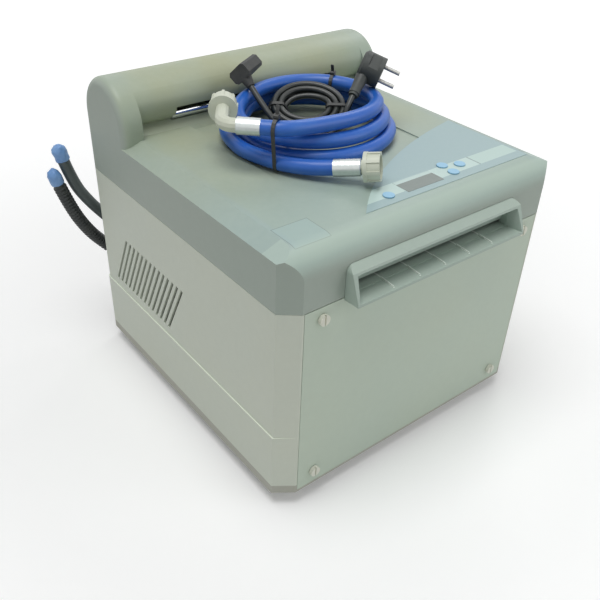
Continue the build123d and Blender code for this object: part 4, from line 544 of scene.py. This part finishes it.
def cover_finish():
    """Grey-green cover, yellowed to the rear, with a painted highlight along its front edge and a blank outline at its
    front left.
    """
    finish, tree, shader = blank_finish("aged cover plastic")
    place = put(tree, "ShaderNodeTexCoord")
    where, facing = parts_of(tree, place.outputs["Object"]), parts_of(tree, place.outputs["Normal"])
    from_middle = math_node(tree, "ABSOLUTE", where["X"])
    at_front = math_node(tree, "LESS_THAN", where["Y"], COVER_FRONT)
    upright = math_node(tree, "MAXIMUM", ranged(tree, math_node(tree, "ABSOLUTE", facing["X"]), 0.45, 0.85),
                        product(tree, at_front, ranged(tree, facing["Z"], 0.6, 0.1)))
    rearward = ranged(tree, where["Y"], *YELLOWING, kind="SMOOTHSTEP")
    inward = ranged(tree, from_middle, *LESS_YELLOW, 1.0, 0.6, "SMOOTHSTEP")
    ageing = math_node(tree, "MULTIPLY_ADD", product(tree, rearward, inward), 0.95, 0.05)
    margin = product(tree, ranged(tree, from_middle, *MARGIN), 0.6, ranged(tree, facing["Z"], 0.7, 1.0))
    ground = mixed(tree, margin, mixed(tree, upright, *COVER_COLOURS), MARGIN_COLOUR)
    recipe = placed(tree, MOULDED, {"Colour": ground, "Aged Colour": mixed(tree, upright, *YELLOWED_COLOURS),
                                    "Ageing": ageing, "Mottle": 0.035, "Dust": 0.12, "Roughness": 0.42,
                                    "Grain Scale": 1100.0})
    on_top = math_node(tree, "GREATER_THAN", facing["Z"], 0.3)
    inside = {side: at + (OUTLINE_WIDTH if side in ("Left", "Front") else -OUTLINE_WIDTH)
              for side, at in BLANK_PLATE.items()}
    plate = product(tree, placed(tree, FIELD, inside).outputs[0], on_top)
    whole = product(tree, placed(tree, FIELD, BLANK_PLATE).outputs[0], on_top)
    outline = math_node(tree, "SUBTRACT", whole, plate)
    # painted highlight: a pale band where the front rounding faces partly upwards
    painted_pale = product(tree, ranged(tree, facing["Z"], 0.5, 0.85, kind="SMOOTHSTEP"),
                     ranged(tree, facing["Z"], 1.0, 0.9, kind="SMOOTHSTEP"), at_front)
    tone = mixed(tree, product(tree, plate, 0.35), recipe.outputs["Colour"], PLATE_COLOUR)
    tone = mixed(tree, product(tree, outline, 0.55), tone, OUTLINE_COLOUR)
    tone = mixed(tree, product(tree, painted_pale, 0.5), tone, EDGE_HIGHLIGHT_COLOUR)
    feed_shader(tree, shader, recipe, 0.00012, tone)
    return finish


# the foil's white band and second field, in metres, with the thin line between them, and the display's rear edge
BAND_FRONT = -0.1563
BAND_REAR = -0.1356
BAND_LEFT = -0.0642
BAND_LEAN = 1.31
LINE_LEFT = 0.1035
LINE_RIGHT = 0.105
SECOND_FIELD_RIGHT = 0.1655
GLASS_REAR = -0.1418
BAND_COLOUR = (0.5, 0.635, 0.6, 1)
SECOND_FIELD_COLOUR = (0.46, 0.6, 0.56, 1)
LINE_COLOUR = (0.2, 0.27, 0.27, 1)


def window_finish():
    """Smoked display window; the strip behind the display is printed like the band around it."""
    finish, tree, shader = blank_finish("display window")
    recipe = placed(tree, MOULDED, {"Colour": (0.19, 0.235, 0.22), "Aged Colour": (0.2, 0.22, 0.2), "Ageing": 0.2,
                                    "Mottle": 0.02, "Dust": 0.1, "Roughness": 0.2, "Grain Scale": 2400.0})
    printed = placed(tree, FIELD, {"Left": -0.2, "Right": 0.2, "Front": GLASS_REAR, "Rear": 0.0})
    tone = mixed(tree, printed.outputs[0], recipe.outputs["Colour"], BAND_COLOUR)
    feed_shader(tree, shader, recipe, 0.00002, tone)
    return finish


def foil_finish():
    """Printed foil: blue-grey ground, a white band, and a second white field past a thin dark line."""
    finish, tree, shader = blank_finish("printed foil", Coat_Roughness=0.25)
    ground = placed(tree, MOULDED, {"Colour": (0.315, 0.445, 0.465), "Aged Colour": (0.33, 0.43, 0.4), "Ageing": 0.25,
                                    "Mottle": 0.02, "Dust": 0.08, "Roughness": 0.38, "Grain Scale": 2600.0})
    tone = ground.outputs["Colour"]
    for left, right, lean, colour in ((BAND_LEFT, LINE_LEFT, BAND_LEAN, BAND_COLOUR),
                                      (LINE_RIGHT, SECOND_FIELD_RIGHT, 0.0, SECOND_FIELD_COLOUR),
                                      (LINE_LEFT, LINE_RIGHT, 0.0, LINE_COLOUR)):
        field = placed(tree, FIELD, {"Left": left, "Right": right, "Front": BAND_FRONT, "Rear": BAND_REAR,
                                     "Lean": lean})
        tone = mixed(tree, field.outputs[0], tone, colour)
    feed_shader(tree, shader, ground, 0.00005, tone)
    return finish


PLUG_BOOT_LENGTH = 42.0
PLUG_BOOT_SET_BACK = 5.5
PLUG_HEAD_HALF = 13.0
PAST_THE_FACE = 0.2
PIN_WAY = Vector((0.574, -0.756, -0.315))
PIN_COLOUR = (0.42, 0.42, 0.4, 1)


def plug_face():
    """Direction of the pins, and how far along it the plug's face lies, in metres."""
    pins = PIN_WAY.normalized()
    pins = (pins - LEAD_TO_PLUG * pins.dot(LEAD_TO_PLUG)).normalized()
    centre = LEAD_AT_PLUG + LEAD_TO_PLUG * PLUG_BOOT_LENGTH + pins * PLUG_BOOT_SET_BACK
    return pins, (centre.dot(pins) + PLUG_HEAD_HALF + PAST_THE_FACE) * MM


def plug_finish():
    """Black plug with two bright pins: what stands in front of its face is metal."""
    finish, tree, shader = blank_finish("plug rubber and pins")
    recipe = placed(tree, RUBBER, {"Colour": (0.03, 0.036, 0.034), "Bloom Colour": (0.12, 0.13, 0.12), "Bloom": 0.5,
                                   "Roughness": 0.5, "Grain Scale": 1200.0})
    pins, face = plug_face()
    ahead = put(tree, "ShaderNodeVectorMath", {0: object_place(tree), 1: pins}, operation="DOT_PRODUCT")
    pin = math_node(tree, "GREATER_THAN", ahead.outputs["Value"], face)
    feed_shader(tree, shader, recipe, 0.00008, mixed(tree, pin, recipe.outputs["Colour"], PIN_COLOUR))
    tree.links.new(pin, shader.inputs["Metallic"])
    return finish


# the feed tray's guide ribs, in metres, and how far they are painted pale
RIBS = 5
RIB_PITCH = 0.036
RIB_HALF_WIDTH = 0.0009
RIB_FOOT_Z = 0.2618
RIB_TOP_Z = 0.2647
RIB_PALENESS = 0.75
RIB_COLOUR = (0.78, 0.84, 0.78, 1)


def tray_finish():
    """Feed tray plastic, painted pale along its five guide ribs."""
    finish, tree, shader = blank_finish("feed tray plastic")
    recipe = placed(tree, MOULDED, {"Colour": (0.37, 0.46, 0.41), "Aged Colour": (0.38, 0.42, 0.33), "Ageing": 0.2,
                                    "Mottle": 0.04, "Dust": 0.15, "Roughness": 0.42, "Grain Scale": 1400.0})
    where = parts_of(tree, object_place(tree))
    # the five guide ribs are painted pale
    nearest = math_node(tree, "SNAP", math_node(tree, "ADD", where["X"], RIB_PITCH / 2), RIB_PITCH)
    offset = math_node(tree, "ABSOLUTE", math_node(tree, "SUBTRACT", where["X"], nearest))
    painted_pale = product(tree, math_node(tree, "LESS_THAN", offset, RIB_HALF_WIDTH),
                     math_node(tree, "LESS_THAN", math_node(tree, "ABSOLUTE", where["X"]), RIBS / 2 * RIB_PITCH),
                     math_node(tree, "LESS_THAN", where["Z"], RIB_TOP_Z),
                     math_node(tree, "GREATER_THAN", where["Z"], RIB_FOOT_Z), RIB_PALENESS)
    feed_shader(tree, shader, recipe, 0.0001, mixed(tree, painted_pale, recipe.outputs["Colour"], RIB_COLOUR))
    return finish


COVER = cover_finish()
FOIL = foil_finish()
# the side panels' ledge gets a painted highlight
PANEL = moulded("beige panel plastic", (0.6, 0.65, 0.57), (0.58, 0.58, 0.46), mottle=0.03, grain=1200.0,
                depth=0.00012, scuffs=0.15, ledge_highlight=(0.82, 0.88, 0.76))
FRONT = moulded("front panel plastic", (0.5, 0.595, 0.505), (0.52, 0.54, 0.41), ageing=0.25, roughness=0.48,
                mottle=0.03, grain=1200.0, depth=0.00012, scuffs=0.15)
TRAY = tray_finish()
TANK = moulded("grey tank plastic", (0.30, 0.30, 0.28), (0.30, 0.27, 0.2), ageing=0.4, mottle=0.06)
BASE = moulded("base tray plastic", (0.42, 0.43, 0.38), (0.38, 0.36, 0.28), ageing=0.4, roughness=0.55)
ROLLER = moulded("roller resin", (0.62, 0.62, 0.58), (0.5, 0.46, 0.34), ageing=0.5, roughness=0.4, dust=0.0,
                 grain=900.0)
GEAR = moulded("gear resin", (0.8, 0.79, 0.74), (0.7, 0.64, 0.48), ageing=0.4, roughness=0.4, mottle=0.03, dust=0.0)
GLASS = window_finish()
KEY = moulded("light blue key", (0.27, 0.53, 0.74), (0.3, 0.5, 0.62), ageing=0.2, roughness=0.35, mottle=0.03,
              grain=1600.0, depth=0.00006)
FASTENER = moulded("fastener plastic", (0.72, 0.74, 0.66), (0.66, 0.62, 0.46), roughness=0.42, mottle=0.04)
CREAM = moulded("cream fitting plastic", (0.6, 0.65, 0.57), (0.6, 0.59, 0.42), ageing=0.4, roughness=0.36,
                mottle=0.04, dust=0.05, grain=900.0, depth=0.00012)
BLACK = moulded("black moulded plastic", (0.028, 0.03, 0.03), (0.05, 0.05, 0.045), roughness=0.45, mottle=0.06,
                dust=0.03)
BOARD = moulded("green circuit board", (0.03, 0.16, 0.07), (0.04, 0.14, 0.06), ageing=0.2, roughness=0.35,
                mottle=0.08, dust=0.0, grain=600.0)
FOOT = flexible("rubber foot", (0.025, 0.027, 0.027), (0.12, 0.12, 0.11), bloom=0.6, roughness=0.6)
LEAD = flexible("black lead", (0.017, 0.021, 0.020), (0.08, 0.09, 0.08), roughness=0.3, grain=900.0, depth=0.00005)
PLUG = plug_finish()
DRAIN = flexible("dark drain hose", (0.07, 0.09, 0.09), (0.16, 0.19, 0.19), bloom=0.45, roughness=0.45, grain=600.0)
RIBBED = flexible("ribbed drain hose", (0.022, 0.027, 0.027), (0.09, 0.1, 0.09), bloom=0.4, roughness=0.42,
                  grain=600.0)
HOSE = flexible("blue hose", (0.02, 0.12, 0.5), (0.07, 0.22, 0.56), roughness=0.33, grain=350.0, depth=0.00004)
CAP = flexible("soft blue film", (0.16, 0.32, 0.62), (0.32, 0.5, 0.78), bloom=0.6, roughness=0.4, grain=300.0,
               depth=0.0004)
FERRULE = metal("crimped aluminium", (0.6, 0.64, 0.63), roughness=0.27, stretch=(300.0, 300.0, 300.0), contrast=0.1)
CHROME = metal("polished roller", (0.72, 0.74, 0.75), roughness=0.1, stretch=(20.0, 1200.0, 1200.0), contrast=0.06)
STEEL = metal("sheet steel", (0.5, 0.51, 0.52), roughness=0.35)
DARK_STEEL = metal("dark steel", (0.16, 0.16, 0.165), roughness=0.42)
ENAMEL = moulded("grey enamel sheet", (0.42, 0.43, 0.39), (0.4, 0.38, 0.3), ageing=0.25, roughness=0.42, mottle=0.03,
                 grain=500.0, scuffs=0.2)


# ---------------------------------------------------------------- finishes on the machine's parts
FINISHES = {
    "top_cover": COVER, "control_foil": FOIL, "display_window": GLASS, "control_board": BOARD,
    "left_side_panel": PANEL, "right_side_panel": PANEL, "front_panel": FRONT, "base_tray": BASE,
    "rear_panel": ENAMEL, "feed_tray": TRAY, "tank_block": TANK, "rubber_feet": FOOT, "hinge_pins": STEEL,
    "drive_plate": STEEL, "drive_motor": DARK_STEEL, "motor_pinion": GEAR, "dryer_frame": STEEL,
    "dryer_roller": ROLLER, "dryer_heater": DARK_STEEL, "blower_housing": BLACK, "blower_impeller": BLACK,
    "water_valve": GEAR, "circulation_pump": BLACK, "mains_inlet": BLACK, "exit_roller": CHROME,
    "hose_fittings": CREAM, "cable_ties": BLACK, "mains_plug": PLUG, "mains_connector": FOOT,
    "hose_ferrules": FERRULE}
for name, part in NODES.items():
    finish = FINISHES.get(name)
    if name.startswith("key_"):
        finish = KEY
    elif name.startswith("fastener_"):
        finish = FASTENER
    elif name.startswith("idler_gear"):
        finish = GEAR
    elif name.endswith("_rack"):
        finish = TANK
    elif name.endswith("_roller") and not finish:
        finish = ROLLER
    if finish and part.material_slots:
        for holder in part.material_slots:
            holder.material = finish
    elif finish:
        part.data.materials.append(finish)


# ---------------------------------------------------------------- drain hoses and their covers
# in millimetres: the film's radius on each hose, how much of it lies on the hose, its length, tip and thickness
UPPER_FILM_RADIUS = 8.3
LOWER_FILM_RADIUS = 8.0
FILM_OVERLAP = 12.0
FILM_LENGTH = 20.0
FILM_TIP_RADIUS = 0.4
FILM_THICKNESS = 0.4
# the share of its length at which the film starts to close
CLOSING_STARTS = 0.55


def crumpled_cover(name, tip, way, radius, seed):
    """Soft film drawn over a hose end and twisted shut."""
    side = way.orthogonal().normalized()
    other = way.cross(side)
    rings, sides = 22, 36
    points, faces = [], []
    for ring in range(rings):
        share = ring / (rings - 1)
        along = -FILM_OVERLAP + FILM_LENGTH * share
        shut = min(1.0, max(0.0, (share - CLOSING_STARTS) / (1 - CLOSING_STARTS)))
        closing = math.cos(shut * math.pi / 2) ** 0.6
        reach = radius * (0.25 + 0.75 * closing) if ring < rings - 1 else FILM_TIP_RADIUS
        for k in range(sides):
            angle = 2 * math.pi * k / sides + 0.5 * share
            spot = Vector((math.cos(angle) * 1.6, math.sin(angle) * 1.6, share * 2.2 + seed))
            fold = noise.noise(spot) * 1.5 + abs(noise.noise(spot * 2.3)) * 1.2
            r = max(0.3, reach + fold * (0.35 + share) * (1 if ring < rings - 1 else 0))
            points.append(metres(Vector(tip) + way * (along + noise.noise(spot * 1.7) * 1.2)
                                 + side * (r * math.cos(angle)) + other * (r * math.sin(angle))))
    for ring in range(rings - 1):
        for k in range(sides):
            a, b = ring * sides + k, ring * sides + (k + 1) % sides
            faces.append((a, b, b + sides, a + sides))
    faces.append(tuple(range((rings - 1) * sides, rings * sides)))
    mesh = bpy.data.meshes.new(name)
    mesh.from_pydata(points, [], faces)
    mesh.shade_smooth()
    mesh.materials.append(CAP)
    cover = shown(bpy.data.objects.new(name, mesh))
    wall = cover.modifiers.new("film", "SOLIDIFY")
    wall.thickness = FILM_THICKNESS * MM
    wall.offset = 1
    return cover


def end_way(points):
    """The way that a hose points at its free end."""
    return (Vector(points[-1]) - Vector(points[-2])).normalized()


ribbed_drain = ringed_tube("ribbed_drain_hose", DRAIN_LOWER, RIBBED, Pitch=RIBBED_DRAIN_PITCH * MM,
                           Crest_Radius=RIBBED_DRAIN_CREST * MM, Valley_Radius=RIBBED_DRAIN_VALLEY * MM,
                           Plain_End=RIBBED_DRAIN_PLAIN_END * MM)
upper_cover = crumpled_cover("drain_cover_upper", DRAIN_UPPER[-1], end_way(DRAIN_UPPER), UPPER_FILM_RADIUS, 3.0)
lower_cover = crumpled_cover("drain_cover_lower", DRAIN_LOWER[-1], end_way(DRAIN_LOWER), LOWER_FILM_RADIUS, 9.0)


# ---------------------------------------------------------------- crimped sleeves and tie heads
SLEEVE_RADIUS = 9.12
SLEEVE_CRIMP_RADIUS = 9.2
SLEEVE_CRIMP_PITCH = 6.5
SLEEVE_PLAIN_END = 5.0
SLEEVE_STRAIGHT = 8.0
SLEEVE_CLEARANCE = 0.2
# each sleeve's end at its fitting, and its end on the hose
SLEEVES = {"elbow": (HOSE_START[0], HOSE_START[1]), "nut": (HOSE_END[-1], HOSE_END[-2])}


def crimped_sleeve(name, fitting, hose_side):
    """Bright sleeve with very shallow crimp rings."""
    start, end = Vector(hose_side), Vector(fitting)
    way = (end - start).normalized()
    line = [start, start + way * SLEEVE_STRAIGHT, end - way * SLEEVE_STRAIGHT, end - way * SLEEVE_CLEARANCE]
    return ringed_tube(name, line, FERRULE, Pitch=SLEEVE_CRIMP_PITCH * MM, Crest_Radius=SLEEVE_CRIMP_RADIUS * MM,
                       Valley_Radius=SLEEVE_RADIUS * MM, Plain_End=SLEEVE_PLAIN_END * MM, Sides=40)


sleeves = [crimped_sleeve("crimped_sleeve_" + end, *place) for end, place in SLEEVES.items()]

# a strap lies more than this far from the coil's middle, in metres, one strap towards this side and one away from it
STRAP_FROM_MIDDLE = 0.05
TIE_SIDE = Vector((0.848, 0.53, 0.0))
# how far below a strap's top its flat reaches, in millimetres
STRAP_FLAT = 0.6
# side views of a tie's head and of its cut tail, in millimetres outwards and upwards from the flat
TIE_HEAD = [(-3.4, -0.7), (3.0, -0.7), (3.4, 0.6), (3.4, 2.6), (2.4, 3.6), (-2.2, 3.6), (-3.4, 2.2)]
TIE_TAIL = [(-2.0, 3.2), (-0.8, 3.2), (-1.6, 7.5), (-3.6, 12.0), (-4.6, 11.6), (-2.8, 7.2)]
TIE_HEAD_HALF_WIDTH = 3.0
TIE_TAIL_HALF_WIDTH = 1.9


def tie_head(name, strap_side):
    """Ratchet head with its cut tail, seated on the highest flat of a strap."""
    middle = metres((*COIL_CENTRE, 0))
    strap = [v.co.copy() for v in NODES["cable_ties"].data.vertices
             if (v.co - middle).dot(strap_side) > STRAP_FROM_MIDDLE]
    top = max(v.z for v in strap)
    crest = [v for v in strap if v.z > top - STRAP_FLAT * MM]
    seat = sum(crest, Vector()) / len(crest)
    along = Vector((-strap_side.y, strap_side.x, 0)).normalized()
    out = strap_side.normalized()
    up = Vector((0, 0, 1))
    points, faces = [], []
    for outline, half in ((TIE_HEAD, TIE_HEAD_HALF_WIDTH), (TIE_TAIL, TIE_TAIL_HALF_WIDTH)):
        start, count = len(points), len(outline)
        for side in (-half, half):
            points += [seat + (out * u + up * w + along * side) * MM for u, w in outline]
        faces.append(tuple(start + k for k in range(count)))
        faces.append(tuple(start + count + k for k in reversed(range(count))))
        faces += [(start + k, start + count + k, start + count + (k + 1) % count, start + (k + 1) % count)
                  for k in range(count)]
    mesh = bpy.data.meshes.new(name)
    mesh.from_pydata(points, [], faces)
    mesh.materials.append(BLACK)
    head = shown(bpy.data.objects.new(name, mesh))
    edge = head.modifiers.new("soft edges", "BEVEL")
    edge.width = 0.35 * MM
    edge.segments = 2
    return head


tie_heads = [tie_head("tie_head_front", -TIE_SIDE), tie_head("tie_head_rear", TIE_SIDE)]


# ---------------------------------------------------------------- finishes on the cords, riding, and hidden parts
def paint(obj, finish):
    """One finish for the whole of a cord."""
    if obj.data.materials:
        obj.data.materials[0] = finish
    else:
        obj.data.materials.append(finish)


for obj, finish in ((hose, HOSE), (lead, LEAD), (smooth_drain, DRAIN)):
    paint(obj, finish)

for obj in [hose, lead] + sleeves + tie_heads:
    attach(obj, "cover")
for obj in (smooth_drain, ribbed_drain, upper_cover, lower_cover):
    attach(obj, "chassis")

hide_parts("inlet_hose")
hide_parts("lead_hank", "lead_tail_plug", "lead_tail_connector")
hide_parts("drain_hose_upper")
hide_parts("drain_hose_lower")
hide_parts("drain_hose_caps")
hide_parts("drain_hose_caps")
for sleeve in sleeves:
    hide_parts("hose_ferrules")

line_points("drain_path", DRAIN_LOWER, 14)


# ---------------------------------------------------------------- floor, background, light
AMBIENT = 0.34
# name, place, the point that it faces, width and power
LAMPS = [("overhead_lamp", (-0.5, -0.1, 2.6), (0, 0, 0.2), 1.6, 34),
         ("window_lamp", (1.5, 0.8, 1.9), (0, 0, 0.3), 0.8, 5),
         ("front_fill_lamp", (0.9, -1.4, 0.9), (0, 0, 0.25), 1.2, 4.5)]
FLOOR_HALF = 12.0
# how much the floor is lifted near its middle and far from it, and how far away those are, in metres
LIFTS = (0.13, 0.9)
LIFT_DISTANCES = (0.4, 2.6)


def light_path_world():
    """Even studio surround, white where the camera, a reflection or clear glass looks past the object."""
    world = bpy.data.worlds.new("studio")
    bpy.context.scene.world = world
    world.use_nodes = True
    tree = world.node_tree
    tree.nodes.clear()
    path = put(tree, "ShaderNodeLightPath")
    seen = math_node(tree, "MAXIMUM", path.outputs["Is Camera Ray"],
                     math_node(tree, "MAXIMUM", path.outputs["Is Glossy Ray"], path.outputs["Is Transmission Ray"]))
    surround = put(tree, "ShaderNodeBackground", {"Color": (0.96, 0.98, 0.98, 1), "Strength": AMBIENT})
    plain = put(tree, "ShaderNodeBackground", {"Color": (1, 1, 1, 1), "Strength": 1.0})
    mix = put(tree, "ShaderNodeMixShader", {0: seen, 1: surround.outputs[0], 2: plain.outputs[0]})
    out = put(tree, "ShaderNodeOutputWorld")
    tree.links.new(mix.outputs[0], out.inputs["Surface"])


def soft_lamp(name, place, toward, size, power):
    """Round studio lamp that faces a point."""
    data = bpy.data.lights.new(name, "AREA")
    data.shape = "DISK"
    data.size = size
    data.energy = power
    lamp = shown(bpy.data.objects.new(name, data))
    lamp.location = place
    lamp.rotation_euler = (Vector(place) - Vector(toward)).to_track_quat("Z", "Y").to_euler()


light_path_world()
for lamp in LAMPS:
    soft_lamp(*lamp)


def pale_floor():
    """Pale floor that keeps the shadow, lifted for the camera alone, and more so far from the machine."""
    finish, tree, shader = blank_finish("pale floor", Roughness=0.9, Emission_Strength=1.0)
    where = object_place(tree)
    away = put(tree, "ShaderNodeVectorMath", {0: where}, operation="LENGTH").outputs["Value"]
    lift = product(tree, put(tree, "ShaderNodeLightPath").outputs["Is Camera Ray"],
                   ranged(tree, away, *LIFT_DISTANCES, *LIFTS))
    tree.links.new(mixed(tree, lift, (0, 0, 0, 1), (1, 1, 1, 1)), shader.inputs["Emission Color"])
    tone = mixed(tree, speckle(tree, where, 3.0, 2.0), (0.9, 0.9, 0.9, 1), (0.93, 0.93, 0.93, 1))
    tree.links.new(tone, shader.inputs["Base Color"])
    mesh = bpy.data.meshes.new("floor")
    corners = [(x * FLOOR_HALF, y * FLOOR_HALF, 0) for x, y in ((-1, -1), (1, -1), (1, 1), (-1, 1))]
    mesh.from_pydata(corners, [], [(0, 1, 2, 3)])
    mesh.materials.append(finish)
    shown(bpy.data.objects.new("floor", mesh))


pale_floor()
bpy.context.scene.view_settings.view_transform = "Standard"
